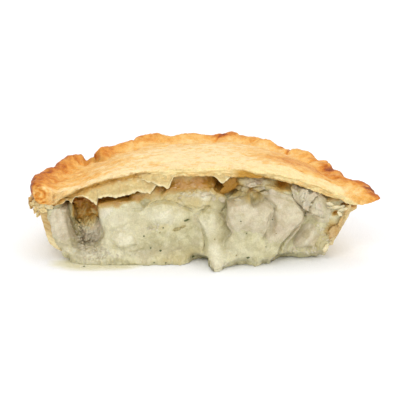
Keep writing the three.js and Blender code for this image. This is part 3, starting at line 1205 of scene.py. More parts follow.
    def _dents(self, skin: Skin) -> Array:
        """The notch and dips in the back rim, and the corner drawn out at the right.

        Args:
            skin: The lid's points.

        Returns:
            How each point moves, one vector to a row.
        """
        x, y, _ = skin.at.T
        radius, degrees = skin.polar()
        back = ease(47, 51, radius) * ease(15, 25, y)
        slope = 0.62 * ease(-38.6, -37.8, x) * ease(-30.5, -37.4, x)
        slope += 0.36 * bell((x + 40.2) / 1.8)
        dip = 1.8 * bell((x + 40.4) / 1.1) + 0.9 * bell((x + 31.4) / 2.6)
        dip += 1.6 * ease(-37.7, -37.2, x) * ease(-34.8, -36.8, x)
        dip += 0.9 * bell((degrees - 52.6) / 2.2) * ease(51, 55, radius)
        lobe = 1.5 * bell((x - 60.8) / 3.6) * ease(1.5, 5, y)
        pressed = back * slope * np.maximum(y - self.notch, 0)
        return np.stack([0 * x, lobe - pressed, -back * dip], axis=1)

    @staticmethod
    def _bent(skin: Skin) -> Array:
        """Places along and across the wavy streaks of the dome, which rise from the left end.

        Args:
            skin: The lid's points.

        Returns:
            The places, one to a row.
        """
        flat = skin.at * (1, 1, 0)
        x = skin.at[:, 0]
        lean = 0.3 * np.minimum(x + 6, 0) - 0.22 * np.maximum(x - 10, 0)
        wave = 2.6 * grain(flat, 11, 2) + 0.8 * grain(flat, 4, 4) - lean
        return flat + np.stack([0 * x, wave, 0 * x], axis=1)

    def _across(self, skin: Skin, index: int) -> Array:
        """Distance of each point from one of the folds round the edge.

        Args:
            skin: The lid's points.
            index: Which fold.

        Returns:
            One value for each point.
        """
        radius, degrees = skin.polar()
        lean = 3 * (1 if index % 2 else -1) * (radius - self.valley) / 8
        return np.radians(degrees - self.folds[index][0] - lean) * radius

    def _strip(self, skin: Skin) -> tuple[Array, Array]:
        """The paler strip along the cut at the right.

        Args:
            skin: The lid's points.

        Returns:
            How much each point belongs to it, and how near it is to the crease behind it.
        """
        x, y, _ = skin.at.T
        line = on_line(x)
        right = ease(14, 24, x) * ease(56, 50, x)
        behind = y - self.strip - 0.8 * grain(line, 7, 39) - 0.3 * grain(line, 2, 40)
        return right * ease(0.4, -0.4, behind), right * bell(behind / 0.45)

    def _swirled(self, skin: Skin) -> tuple[Array, Array, Array]:
        """The swirl in the left corner.

        Args:
            skin: The lid's points.

        Returns:
            How far each point is from its middle, the same made uneven, and its ridges in [-1, 1].
        """
        across, up = skin.at[:, 0] - self.swirl[0], skin.at[:, 2] - self.swirl[1]
        out = np.hypot(across, up)
        uneven = out + 0.5 * grain(skin.at, 2.4, 28)
        return out, uneven, np.cos(2 * math.pi * uneven / self.coil - np.arctan2(up, across))

    def _fray(self, skin: Skin) -> None:
        """Rolls the cut edge over, parts it into plies and tears it.

        Args:
            skin: The lid's points.
        """
        x, y, z = skin.at.T
        depth = self.height(x, y) - z
        strip, crease = self._strip(skin)
        roll = 0.5 * strip * (self.strip - y) / 4 + 0.45 * crease
        line = on_line(x)
        jag = 0.6 * grain(line, 2.3, 35) + 0.4 * grain(line, 0.9, 36)
        inner = ease(52, 46, x) * ease(-57, -54, x)
        lower = ease(2, 3.4, depth) * ease(6, 1, y) * inner
        upper = ease(1.3, 0.4, depth) * ease(1.6, -0.6, y)
        torn = 1 * grain(line, 2.4, 37) + 0.7 * grain(line, 0.9, 38) - 0.5
        hidden = ease(-51, -48, x) * ease(-32, -34, x) * ease(7, 5, y)
        inward = self._parted(skin, depth) + upper * (0.35 + 0.65 * self._left(x)) * torn
        skin.push((0, 1, 0), inward)
        skin.push((0, 0, 1), lower * jag - ease(2.4, 0.6, depth) * roll)
        skin.push((0, 0, 1), hidden * np.maximum(24.6 - skin.at[:, 2], 0))
        skin.settle()

    def _parted(self, skin: Skin, depth: Array) -> Array:
        """Plies, crumbs and the swirl on the cut edge, which is tucked in at the right.

        Args:
            skin: The lid's points.
            depth: How far each point lies under the dome's top.

        Returns:
            How far back each point goes.
        """
        x, y, _ = skin.at.T
        line = on_line(x)
        cut = ease(-0.3, -0.7, skin.normal[:, 1]) * ease(4, 1.5, y)
        plies = grain(np.stack([x, depth * 9, y], axis=1), (7, 5, 30), 31)
        crumbs = grain(np.stack([x, depth, y], axis=1), (1.4, 1.1, 30), 33)
        _, out, coil = self._swirled(skin)
        uneven = 0.4 * grain(line, 3, 34) + 0.5 * grain(line, 1.3, 29) + 0.3 * grain(line, 0.6, 30)
        recess = ease(-50, -45, x) * self._left(x) * bell((depth - 1.9 - uneven) / 0.75)
        strands = 0.3 + 0.5 * bell((x + 50) / 4)
        inset = ease(12, 18, x) * ease(38, 31, x)
        tuck = 0.9 * inset * ease(0.6, 2.6, depth - 0.2 * (x - 18))
        ridges = strands * plies + 0.25 * crumbs + 0.3 * coil * ease(4.2, 3.2, out)
        return cut * (tuck + ridges + 1.1 * recess)

    def _browned(self, skin: Skin) -> Array:
        """How brown the dome and the rim are.

        Args:
            skin: The lid's points.

        Returns:
            One value for each point.
        """
        x, y, z = skin.at.T
        radius, degrees = skin.polar()
        outward = (radius - (self.edge(degrees) - 8)) / 8
        rim = self._rim(radius)
        spots = ease(0, 0.6, grain(skin.at, 2.6, 41))
        brown = 0.04 + 0.16 * ease(18, 46, radius) + 0.1 * rim
        brown += 0.1 * ease(14, 48, np.abs(x))
        brown += 0.18 * ease(0, 0.8, outward) + 0.28 * ease(0.75, 1.15, outward)
        brown += (0.04 + 0.14 * spots) * ease(-0.1, 0.6, outward)
        fine = ease(0.1, 0.6, grain(skin.at, (2, 1, 1), 42))
        brown += (0.08 + 0.2 * fine) * ease(140, 160, degrees) * ease(-0.2, 0.6, outward)
        brown -= 0.15 * ease(80, 60, degrees) * rim * ease(1, 0.7, outward)
        brown += 0.14 * layered_grain(skin.at, 6, 44) * (0.4 + 0.6 * rim)
        bent = self._bent(skin)
        streaks = 0.11 * grain(bent, (8, 1.4, 60), 3) + 0.08 * grain(bent, (4, 0.8, 60), 5)
        streaks *= (0.6 + 0.4 * ease(15, 40, radius)) * (1 - rim)
        brown -= streaks * (1 - 0.6 * ease(12, 24, x))
        brown -= 0.1 * rim * bell((degrees - 95) / 22)
        for index, (_, _, dark) in enumerate(self.folds):
            brown += dark * rim * bell(self._across(skin, index) / 0.5)
        for bake in self.bakes:
            away = ((x - bake.x) / bake.wide) ** 2 + ((y - bake.y) / bake.deep) ** 2
            brown += bake.level * np.exp(-away) * (z > 18)
        return brown

    def _bake(self, skin: Skin) -> None:
        """Browns the edge and the raised parts, and leaves the cut pale. It paints shade low on the cut
        and in the recesses, and a highlight along the lip at the left.

        Args:
            skin: The lid's points.
        """
        x, y, z = skin.at.T
        rim = self._rim(skin.polar()[0])
        depth = self.height(x, y) - z
        cut = ease(-0.25, -0.6, skin.normal[:, 1]) * ease(4, 1.5, y)
        left = self._left(x)
        strip, crease = self._strip(skin)
        shown = ease(2.4, 0.8, depth)
        out, _, coil = self._swirled(skin)
        curl = ease(5.2, 3.8, out) * ease(3, 0.5, y)
        brown = self._browned(skin)
        brown += shown * (0.4 * crease * ease(-0.3, 0.4, grain(skin.at, 4, 45)) - 0.2 * strip)
        brown = brown * (1 - curl) + curl * (0.5 + 0.12 * coil + 0.24 * grain(skin.at, 1.4, 46))
        brown -= 0.16 * curl * ease(2.6, 3.6, out)
        # the lip at the left is browned less: part of its painted highlight
        brown -= 0.16 * left * ease(1, 0.5, depth) * ease(1.5, 0.3, y)
        skin.paint(Mark.BROWN, brown)
        dough = np.maximum(cut * ease(0.3, 1, depth), 0.6 * strip * shown)
        skin.paint(Mark.DOUGH, dough * (1 - curl))
        skin.paint(Mark.AMBER, self._soaked_and_shaded(skin, depth, cut, curl))
        smooth = 1 - 0.6 * ease(12, 24, x)
        skin.paint(Mark.FIBRE, (1 - 0.8 * rim) * (1 - curl) * smooth)
        # the lip of the top ply at the left is painted paler: a painted highlight where it catches the
        # light
        lip = left * ease(1.2, 0.6, depth) * ease(1.2, 0, y)
        flecks = ease(0.5, 0.9, grain(skin.at, (2.6, 1, 1.4), 48)) * (1 - rim)
        skin.paint(Mark.PALE, np.maximum(0.26 * lip, 0.35 * flecks))
        # painted shade on the lower part of the cut face, in uneven patches
        low_cut_shade = ease(0.8, 2, depth) * ease(0, 0.5, grain(skin.at, 2.2, 49))
        skin.paint(Mark.DIM, 0.5 * cut * low_cut_shade)

    def _soaked_and_shaded(
        self, skin: Skin, depth: Array, cut: Array, curl: Array
    ) -> Array:
        """How much of the crust is painted amber: juice soaked into it, and painted shade with warm
        reflected light on the lid's underside, in the recess at the left and under the rolled strip at the
        right.

        Args:
            skin: The lid's points.
            depth: How far each point lies under the dome's top.
            cut: How much it belongs to the cut edge.
            curl: How much it belongs to the swirl.

        Returns:
            One value for each point.
        """
        x, y, _ = skin.at.T
        radius, _ = skin.polar()
        inner = ease(self.valley + 3, self.valley, radius)
        # the underside, where juice soaks in and shade falls: partly painted shade
        under = 0.5 * ease(0, -0.5, skin.normal[:, 2]) * inner
        band = ease(0.8, 1.3, depth) * ease(3.4, 2.6, depth)
        # amber in the recess under the lip at the left, partly painted shade and warm light
        gold = 0.85 * self._left(x) * cut * band * ease(-50, -45, x)
        hem = 0.35 * cut * ease(2, 3.2, depth) * ease(-0.2, 0.5, grain(skin.at, 3, 47))
        amber_share = 0.95 * np.exp(-(((x + 37) / 3.4) ** 2) - ((y - 34.6) / 3.8) ** 2)
        end = 0.5 * bell((x + 49.5) / 4.5) * cut * (1 - curl)
        # painted shade under the rolled strip at the right, below a wavy depth
        low_shade_start = 1.3 + 0.2 * (x - 18) + 0.5 * grain(skin.at, 2, 50)
        right = ease(11, 16, x) * ease(38, 31, x)
        low = cut * ease(0, 0.9, depth - low_shade_start) * right
        return np.maximum.reduce([under, gold, hem, amber_share, end, low])


@dataclass(frozen=True)
class Ply:
    """A torn sheet of pastry that hangs from the lid's cut edge, down to points (x, z)."""

    lower: Line
    y: float
    top: float  # how far under the dome's top it starts
    thick: float
    lean: float  # how much further back its lower edge is
    gold: float  # how golden it is


@dataclass
class TornPlies(Assembly):
    """The lower plies of the lid, torn into points over the hollow at the left of the cut."""

    lid: Lid
    steps: int = 22  # of each sheet's grid, from top to bottom
    plies: tuple[Ply, ...] = (
        Ply(
            (
                (-52.5, 21.2), (-50.5, 21.9), (-48.7, 22.6), (-47.3, 23.8), (-46.2, 23.4), (-45.3, 22.5),
                (-44.8, 24.2), (-43.4, 25.1), (-41.7, 25.6), (-40, 24.8), (-38.4, 23.6), (-37, 22.5),
                (-36.2, 21.8), (-35.7, 24.6), (-33.6, 25.1), (-31, 25), (-28.9, 24.8), (-26.5, 25.2),
                (-24.9, 25.9), (-23.5, 26.3), (-21.1, 27.1), (-19.6, 26.6), (-18.1, 26.5), (-16.9, 26.3),
                (-16, 27.6), (-14.8, 29.2), (-12, 31.4), (-9, 33),
            ),
            0, 2.5, 0.5, 0.5, 0.9,
        ),
        Ply(
            (
                (-20, 32.4), (-18, 31.3), (-16, 30.9), (-14, 30), (-12, 29.4), (-10.8, 28.4),
                (-10.2, 28.8), (-9.4, 31.2), (-8, 33.8),
            ),
            -0.9, 2, 0.4, 0, 0.3,
        ),
        Ply(
            ((4.2, 34.2), (6.6, 33), (8, 31.6), (9.3, 30.4), (10.4, 31.4), (12, 33), (13.8, 34.6)),
            -1, 1.6, 0.7, 0.2, 0.4,
        ),
    )

    def build(self) -> None:
        """Makes every ply from a grid, gives it thickness and joins them."""
        sheets = [self._sheet(ply, index) for index, ply in enumerate(self.plies)]
        self.piece = join_pieces(sheets, "torn_plies")

    def _sheet(self, ply: Ply, index: int) -> Piece:
        """Makes one hanging sheet.

        Args:
            ply: What it is like.
            index: Picks its own pattern.

        Returns:
            The sheet, with its thickness and paint.
        """
        width = ply.lower[-1][0] - ply.lower[0][0]
        add = bpy.ops.mesh.primitive_grid_add
        piece = new_shape(add, x_subdivisions=int(4 * width) + 8, y_subdivisions=self.steps, size=2)
        skin = Skin(piece, self.pie)
        grid = skin.modelled()  # it spans [-1, 1] both ways
        across, down = (grid[:, 0] + 1) / 2, (1 - grid[:, 1]) / 2
        edge = np.array(ply.lower)
        x = edge[0, 0] + width * across
        line = on_line(x)
        jag = 0.3 * grain(line, 1.3, 71 + index) + 0.2 * grain(line, 0.6, 73 + index)
        start = self.lid.height(x, 0 * x) - ply.top + 1.1 * ease(-44, -49, x)
        bottom = np.minimum(np.interp(x, edge[:, 0], edge[:, 1]) + jag, start - 0.3)
        z = start + (bottom - start) * down
        spot = np.stack([x, 0 * x, z], axis=1)
        folds = 0.7 * grain(spot, (2.4, 1, 4), 75 + index)
        folds += 0.5 * grain(spot, (1.5, 1, 1.1), 77 + index)
        y = ply.y + 1.1 * ply.gold * bell((start - z) / 0.7)
        y += ply.lean * down**1.5 + folds * (0.6 + 0.5 * down) - 0.5 * ease(0.75, 1, down)
        skin.at = np.stack([x, y, z], axis=1)
        skin.settle()
        apply_modifier(piece, "SOLIDIFY", thickness=ply.thick * MM, offset=0)
        self._paint_sheet(piece, ply, index)
        return piece

    def _paint_sheet(self, piece: Piece, ply: Ply, index: int) -> None:
        """Paints one sheet: golden at its top and behind, pale at its torn edge. The golden amber at its
        top and back, and the dimming all over, are painted shade and warm light of the recess under the
        lid.

        Args:
            piece: The sheet.
            ply: What it is like.
            index: Picks its own pattern.
        """
        skin = Skin(piece, self.pie)
        skin.settle()
        x, _, z = skin.at.T
        edge = np.array(ply.lower)
        top, low = self.lid.height(x, 0 * x) - ply.top, np.interp(x, edge[:, 0], edge[:, 1])
        tone = layered_grain(skin.at, 2.6, 79 + index)
        torn = ease(0.25, 0.05, (z - low) / np.maximum(top - low, 0.5))
        skin.paint(Mark.BROWN, 0.15 + 0.12 * tone)
        skin.paint(Mark.DOUGH, 0.9)
        # painted shade all over the ply, uneven
        skin.paint(Mark.DIM, 0.66 + 0.5 * tone)
        skin.paint(Mark.PALE, 0.7 * torn + 0.5 * ease(0.3, 0.7, grain(skin.at, 1.6, 83)))
        skin.paint(Mark.FIBRE, 0.3)
        # painted shade and warm light in amber, on the ply's back and at its top
        behind = 0.7 * ease(0, 0.5, skin.normal[:, 1])
        golden = ply.gold * (0.05 + 0.75 * ease(1.5, 0.3, top - z + 1.4 * tone))
        skin.paint(Mark.AMBER, np.maximum(behind, golden))

    def dress(self) -> None:
        """Gives the plies the lid's pastry."""
        self.settle_piece(self.piece, LID_CRUST, "lid_pastry")


@dataclass
class Case(Assembly):
    """The bottom crust with its flaky wall."""

    filling: "Filling"

    def build(self, frame: dict) -> None:
        """Makes the fine skin from the solid.

        Args:
            frame: The loaded frame.
        """
        self.piece = copy_solids(frame, ["pastry_case"], "crust_case", 0.1)
        fine_skin(self.piece, 0.48, 3)
        refine_cut(self.piece, self.pie, 4, 1)

    def dress(self) -> None:
        """Parts the wall into flakes and browns it."""
        skin = Skin(self.piece, self.pie)
        x, y, z = skin.at.T
        radius = np.hypot(x, y)
        around = np.arctan2(y, x) * 55
        wall = ease(0.85, 0.4, np.abs(skin.normal[:, 2])) * ease(0.6, 2, z)
        rolled = np.stack([around, radius, z], axis=1)
        flakes = grain(rolled, (9, 40, 1.1), 51) + 0.6 * grain(rolled, (4, 40, 0.6), 53)
        shown = 1 - 0.75 * ease(9, 5, y)
        skin.swell(shown * wall * 0.28 * flakes + 0.15 * layered_grain(skin.at, 3, 55))
        skin.settle()
        cut = ease(-0.3, -0.7, skin.normal[:, 1]) * ease(7, 4, skin.at[:, 1])
        lean = np.stack([x * 0.5 + z * 0.85, 0 * x, z * 0.5 - x * 0.85], axis=1)
        leaves = grain(lean, (0.9, 30, 4), 58) + 0.5 * grain(lean, (0.5, 30, 2), 59)
        skin.push((0, -1, 0), cut * 0.4 * leaves * ease(-50, -30, x))
        back = np.maximum(self.filling.foot(x) + 1.6 - skin.at[:, 1], 0)
        skin.push((0, 1, 0), back * ease(6, 3, z) * ease(52, 50, np.abs(x)))
        self.filling.draw_in(skin)
        skin.settle()
        brown = 0.2 + 0.26 * ease(4, 20, z) + 0.2 * layered_grain(skin.at, 6, 57)
        brown += 0.12 * wall * flakes * (1 - cut)
        skin.paint(Mark.BROWN, brown - 0.12 * cut)
        skin.paint(Mark.DOUGH, 0.75 * cut)
        amber_share = Patch(48.6, 12.4, 2.6, 3.4, 0.75, -35).share(skin.at)
        # amber on a small hollow in the flaking wall, partly painted shade
        amber_share += Patch(49.4, 18.6, 1.6, 1, 1).share(skin.at)
        amber_share += 0.45 * ease(-46, -50, x) * ease(9, 13, z)
        skin.paint(Mark.AMBER, cut * (amber_share + 0.3 * ease(0, 0.6, leaves)))
        skin.paint(Mark.FIBRE, 0.3)
        self.settle_piece(self.piece, CASE_CRUST, "case_pastry", "pastry_case")


@dataclass(frozen=True)
class Flake:
    """One ragged flake of pastry: its middle, width, height and turns in degrees."""

    x: float
    y: float
    z: float
    wide: float
    high: float
    roll: float  # in the plane of the cut
    tip: float  # leaning forward
    yaw: float  # about the upright
    brown: float = 0.15
    amber: float = 0.0

    def turned(self) -> Array:
        """Its turns in one matrix: in the cut's plane, backwards, then about the upright.

        Returns:
            The matrix.
        """
        roll, tip, yaw = (math.radians(angle) for angle in (self.roll, self.tip, self.yaw))
        cos, sin = math.cos, math.sin
        spin = np.array([[cos(roll), 0, sin(roll)], [0, 1, 0], [-sin(roll), 0, cos(roll)]])
        nod = np.array([[1, 0, 0], [0, cos(tip), -sin(tip)], [0, sin(tip), cos(tip)]])
        swing = np.array([[cos(yaw), -sin(yaw), 0], [sin(yaw), cos(yaw), 0], [0, 0, 1]])
        return swing @ nod @ spin


def torn_leaf(
    pie: PieFrame, flake: Flake, seed: int, corners: int = 0, thick: float = 0.3
) -> Piece:
    """Makes one thin, ragged, curled leaf from a disc.

    Args:
        pie: The pie's frame.
        flake: The leaf's place, size and turns.
        seed: Picks its own outline.
        corners: How many straight sides it has, or 0 for a wavy outline.
        thick: Its thickness in millimetres.

    Returns:
        The leaf, closed all round.
    """
    add = bpy.ops.mesh.primitive_circle_add
    piece = new_shape(add, vertices=28, radius=1, fill_type="TRIFAN")
    bpy.ops.object.mode_set(mode="EDIT")
    bpy.ops.mesh.select_all(action="SELECT")
    bpy.ops.mesh.subdivide(number_cuts=3)
    bpy.ops.object.mode_set(mode="OBJECT")
    skin = Skin(piece, pie)
    flat = skin.modelled()
    turn = np.arctan2(flat[:, 1], flat[:, 0])
    ring = np.stack([np.cos(turn), np.sin(turn), 0 * turn], axis=1)
    ragged = 1 + 0.35 * grain(ring, 0.8, seed) + 0.25 * grain(ring, 0.3, seed + 20)
    if corners:
        draw = np.random.default_rng(seed)
        facing = 2 * math.pi * (np.arange(corners) + draw.uniform(-0.3, 0.3, corners)) / corners
        away = draw.uniform(0.6, 1, corners)
        sides = away / np.maximum(np.cos(turn[:, None] - facing), 0.05)
        ragged = np.minimum(sides.min(axis=1), 1.5) * (1 + 0.12 * grain(ring, 0.3, seed + 20))
    across, up = flat[:, 0] * ragged * flake.wide / 2, flat[:, 1] * ragged * flake.high / 2
    curl = 0.14 * (across**2 / flake.wide + up**2 / flake.high)
    local = np.stack([across, curl, up], axis=1)
    local[:, 1] += 0.3 * grain(local, 1.2, seed + 40)
    skin.at = local @ flake.turned().T + (flake.x, flake.y, flake.z)
    skin.settle()
    apply_modifier(piece, "SOLIDIFY", thickness=thick * MM, offset=0)
    Skin(piece, pie).settle()
    return piece


@dataclass
class Flakes(Assembly):
    """Loose and half loose flakes where the case's layers part at the ends of the cut."""

    flakes: tuple[Flake, ...] = rows(
        Flake,
        (-60.2, 0.4, 24, 2.4, 1.6, 40, 10, 30, 0.5), (-60.4, 1, 22.4, 2.8, 1.4, 10, -10, 40, 0.5),
        (-60, 1.6, 20.8, 2.4, 1.6, 60, -10, 50, 0.4), (-58.6, 0, 22.8, 3.6, 2.2, -25, 10, 20, 0.35),
        (-57, -0.4, 22.6, 3.6, 2, -30, 20, 0, 0.3), (-57.6, -0.2, 20.8, 3.4, 2, 5, 15, 10, 0.28),
        (-58.2, 0.6, 19.6, 2.2, 2, 15, 0, 40, 0.3), (-57.4, 0.8, 18, 1.8, 2, 25, 0, 40, 0.3),
        (-55.4, -0.8, 21.8, 3.4, 2.2, -20, 20, 0, 0.2), (-53.4, -0.8, 21.4, 3, 2, 15, 10, 0, 0.2),
        (-55.6, -0.7, 20, 2.8, 2, 10, 10, 0, 0.2), (50.4, -0.9, 21.3, 5.6, 1.5, -10, 30, 0, 0),
        (52.8, -0.6, 20.4, 3.6, 1.1, -22, 20, 0, 0), (48.2, -0.8, 22.4, 3.2, 1.7, 30, 25, -10, 0),
        (51.6, -0.4, 18.6, 2.4, 1.2, 50, 10, 0, 0.05), (54.4, 0, 20, 1.6, 4.6, 32, 0, 30, 0.3, 0.2),
        (52.2, 0.4, 15.6, 1.5, 4.8, 30, 0, 40, 0.3, 0.35),
        (49.6, -0.1, 11.8, 3.4, 5, 34, -5, 20, 0.2, 0.6), (49.2, 0.5, 9.6, 1.4, 4, 34, 0, 45, 0.2, 0.2),
        (46.6, 0.6, 5.2, 1.8, 3, 40, 0, 30, 0.1), (11.8, 0.4, 29.2, 4.6, 7.4, 34, 10, 15, 0.4, 1),
    )

    def build(self) -> None:
        """Makes every flake from a small disc and joins them."""
        sheets = [self._flake(flake, index) for index, flake in enumerate(self.flakes)]
        self.piece = join_pieces(sheets, "pastry_flakes")

    def _flake(self, flake: Flake, index: int) -> Piece:
        """Makes one flake with its paint.

        Args:
            flake: What it is like.
            index: Picks its own pattern.

        Returns:
            The flake.
        """
        piece = torn_leaf(self.pie, flake, 300 + index)
        skin = Skin(piece, self.pie)
        skin.paint(Mark.BROWN, flake.brown + 0.2 * layered_grain(skin.at, 1.6, 360 + index))
        skin.paint(Mark.DOUGH, 0.15 + 0.4 * grain(skin.at, 2.5, 380 + index))
        skin.paint(Mark.AMBER, flake.amber + 0.4 * ease(0.2, 0.8, grain(skin.at, 1.8, 400 + index)))
        skin.paint(Mark.PALE, 0.0)
        skin.paint(Mark.DIM, 0.0)
        skin.paint(Mark.FIBRE, 0.3)
        return piece

    def dress(self) -> None:
        """Gives the flakes the case's pastry."""
        self.settle_piece(self.piece, CASE_CRUST, "case_pastry")


@dataclass(frozen=True)
class Chunk:
    """One chunk of chicken: its solid, how it is torn and coloured, and where it sinks in sauce."""

    node: str
    torn: float
    lean: float  # of its fibres, in degrees from upright
    pink: float
    pale: float = 0.0
    sinks: tuple[Patch, ...] = ()


CHUNKS = (
    Chunk("chicken_left", 0.42, 12, 0.25, 0.2, (Patch(-48, 3, 9, 5, 2.4),)),
    Chunk("chicken_left_low", 0.85, 0, 0.45),
    Chunk(
        "chicken_slab_left", 0.08, 0, 0, 0.45,
        (Patch(-19.5, 16, 8, 16, 3.4), Patch(-28, 10, 10, 4.5, 2.6)),
    ),
    # the lump's paleness is partly a painted highlight
    Chunk("chicken_middle_low", 0.1, 0, 0, 0.7, (Patch(-26.6, 9, 12, 9, 2.2),)),
    Chunk("chicken_top", 0.3, 20, 0.45, 0, (Patch(1, 18.5, 8, 3, 1.2),)),
    Chunk("chicken_crumbled", 0.45, 40, 0.25),
    Chunk("chicken_right_slab", 0.24, -30, 0.12, 0.05, (Patch(29, 2, 9, 6, 1.4),)),
    Chunk("chicken_front_slab", 0.12, 20, 0.12, 0.1, (Patch(17, 5, 8, 6.5, 3),)),
    Chunk("chicken_upper_right", 0.35, -40, 0.05, 0.1),
    Chunk("chicken_lower_right", 0.3, 45, 0.1, 0, (Patch(40, 2, 8, 3, 1),)),
)


@dataclass(frozen=True)
class Dollop:
    """A lump of sauce: its middle and its half sizes."""

    x: float
    y: float
    z: float
    rx: float
    ry: float
    rz: float


@dataclass
class Filling(Assembly):
    """Cream sauce round torn chunks of chicken, slumped forward at the cut."""

    creases: tuple[Crease, ...] = (
        Crease(
            (
                (-0.6, 19.4), (-2.5, 20.4), (-6, 22), (-7.9, 22.8), (-11.6, 23.6), (-14.6, 23.2),
                (-18.6, 21.6),
            ),
            0.9, 0.45, 0.7, 4,
        ),
        Crease(((1.4, 19.6), (3.2, 21), (4.9, 22.2)), 0.9, 0.5),
        Crease(((8.9, 19.6), (10.6, 20.6)), 0.8, 0.45),
        Crease(((1.4, 14), (2.6, 12.4), (3, 8.2), (2.4, 5), (3.4, 2.6)), 0.9, 0.45),
        Crease(((13.6, 7.4), (14.6, 6.2), (14.4, 5)), 0.3, 0.25),
        Crease(((-8.6, 5), (-5.5, 5.4)), 0.4, 0.35),
        Crease(
            ((25.6, 0.8), (29.4, 4), (30.6, 7.8), (34.8, 13), (38.6, 17.4), (38.8, 20.6)),
            0.9, 0.45, 0.6, 5,
        ),
        Crease(((-30, 7.4), (-27.5, 5.2), (-23, 4.4), (-18.5, 5.6)), 0.6, 0.8, 0.4, 2),
        Crease(((-28, 5.2), (-24.5, 3.4), (-20, 3.8)), 0.5, 0.7, 0.3, 2),
        Crease(((-31, 8.6), (-29.2, 6.4), (-25, 5.8), (-21, 7.4)), 0.5, 0.7),
        Crease(((41.6, 18.2), (44, 17.6), (46, 16.6)), 0.7, 0.35),
        Crease(((34.6, 26.6), (36.5, 23.4), (39.4, 19.6), (41.4, 17.8)), 0.9, 0.4, 0.5, 4),
        Crease(((38.4, 22.4), (40.4, 21.6), (41.6, 24.2)), 0.6, 0.35),
        Crease(((-24, 20.6), (-19.6, 19.8), (-16.2, 21.6)), 0.4, 0.5, 0.3, 2.5),
        Crease(((4.6, 27.4), (6.4, 27), (7.4, 29.4), (6.8, 31.6)), 0.9, 0.45),
        Crease(((5.6, 31.8), (7.2, 30.2), (9.4, 28.6), (10, 25.4)), 1.6, 0.5),
    )
    sheets: tuple[Sheet, ...] = (
        Sheet(
            (
                (-0.2, 17.9), (2, 14.2), (3, 12), (3.4, 8.2), (3, 5.2), (4.6, 1.4), (13, 1.4), (13, 6),
                (12, 12), (10.8, 16.4), (8.8, 19.2), (5, 20.2), (2, 19.6),
            ),
            0.9, ((13, 10), (8, 10)), 0.25, 0.8, 1,
        ),
        Sheet(
            (
                (34.6, 27.6), (36.6, 24.4), (38.8, 21.6), (40.4, 22.4), (41.6, 24.6), (40.2, 26.4),
                (38.4, 27.8), (36.4, 28.4),
            ),
            0.9, (), 0.4, 0.3, 2,
        ),
        Sheet(
            ((-7, 25.6), (-2, 27.4), (3, 26.6), (5.6, 25), (4.4, 22.4), (0, 21.4), (-4, 22.2)),
            0.45, (), 0.5, 0.5, 4,
        ),
        Sheet(
            (
                (14, -3), (25.4, -3), (27, 1), (29.4, 4.2), (30.4, 7.8), (34.6, 13), (38.4, 16.4),
                (38.6, 20), (36.8, 22.6), (33, 25), (27, 26.4), (20, 26), (14, 22),
            ),
            1.1, ((16, 10), (26, 8)), 0.2, 0.5, 5,
        ),
        Sheet(
            (
                (11.9, 23.6), (15.3, 24.2), (18.7, 25.3), (20.5, 23.9), (22.9, 25.5), (25.2, 24),
                (27.6, 22.5), (26, 20.4), (25.4, 17.8), (24.8, 15.3), (23, 12.6), (13.5, 12.8),
                (11.7, 17.8), (11.1, 20.4),
            ),
            1.5, ((18, 12), (18, 18)), 0.12, 0.25, 9,
        ),
    )
    mounds: tuple[Patch, ...] = rows(
        Patch,
        (-13, 18.4, 6, 2.6, 0.8), (6.4, 6.4, 2.6, 2.4, 0.8), (-5, 14, 5, 2.2, 0.6, 20),
        (-15, 9, 5, 2, 0.5, -15), (-26, 10, 3, 2, 0.5), (13, 2.6, 3.4, 3.4, 1.8), (12, 11, 1.8, 4.4, 1.2),
        (40.4, 9.4, 1.3, 6.4, 1.6, -40), (43.4, 6.6, 1.2, 4.4, 0.9, -30),
    )
    hollows: tuple[Patch, ...] = rows(
        Patch,
        (-2, 31.4, 12, 2.4, 0.8), (6, 31.4, 3.4, 1.8, 1.6), (13.4, 28, 2.4, 2.4, 1.4, 30),
        (20.2, 27, 4.6, 1.7, 3), (27.2, 15.6, 1.2, 4.2, 1.7, -6), (33, 28.6, 5, 1.4, 1.2),
        (50.1, 18.4, 1.2, 0.8, 1.6), (14, 26.2, 2.6, 1.2, 1.6, 25), (-46, 14, 1, 9, 1.3, 14),
        (37.4, 10.6, 1.4, 5.4, 1.2, -40),
    )
    coarse: tuple[Patch, ...] = rows(
        Patch,
        (-40, 7, 7, 6, 0.9), (-32, 3, 8, 3, 0.6), (20, 27, 9, 2.6, 0.6), (41, 24, 6, 4, 0.4),
        (46, 12, 4, 12, 0.8), (37, 4, 8, 3, 0.6), (-50, 6, 5, 6, 0.4), (-16, 14, 4, 2.6, 0.5),
        (-4, 26, 6, 3, 0.5), (0, 3, 30, 1.6, 0.5),
    )
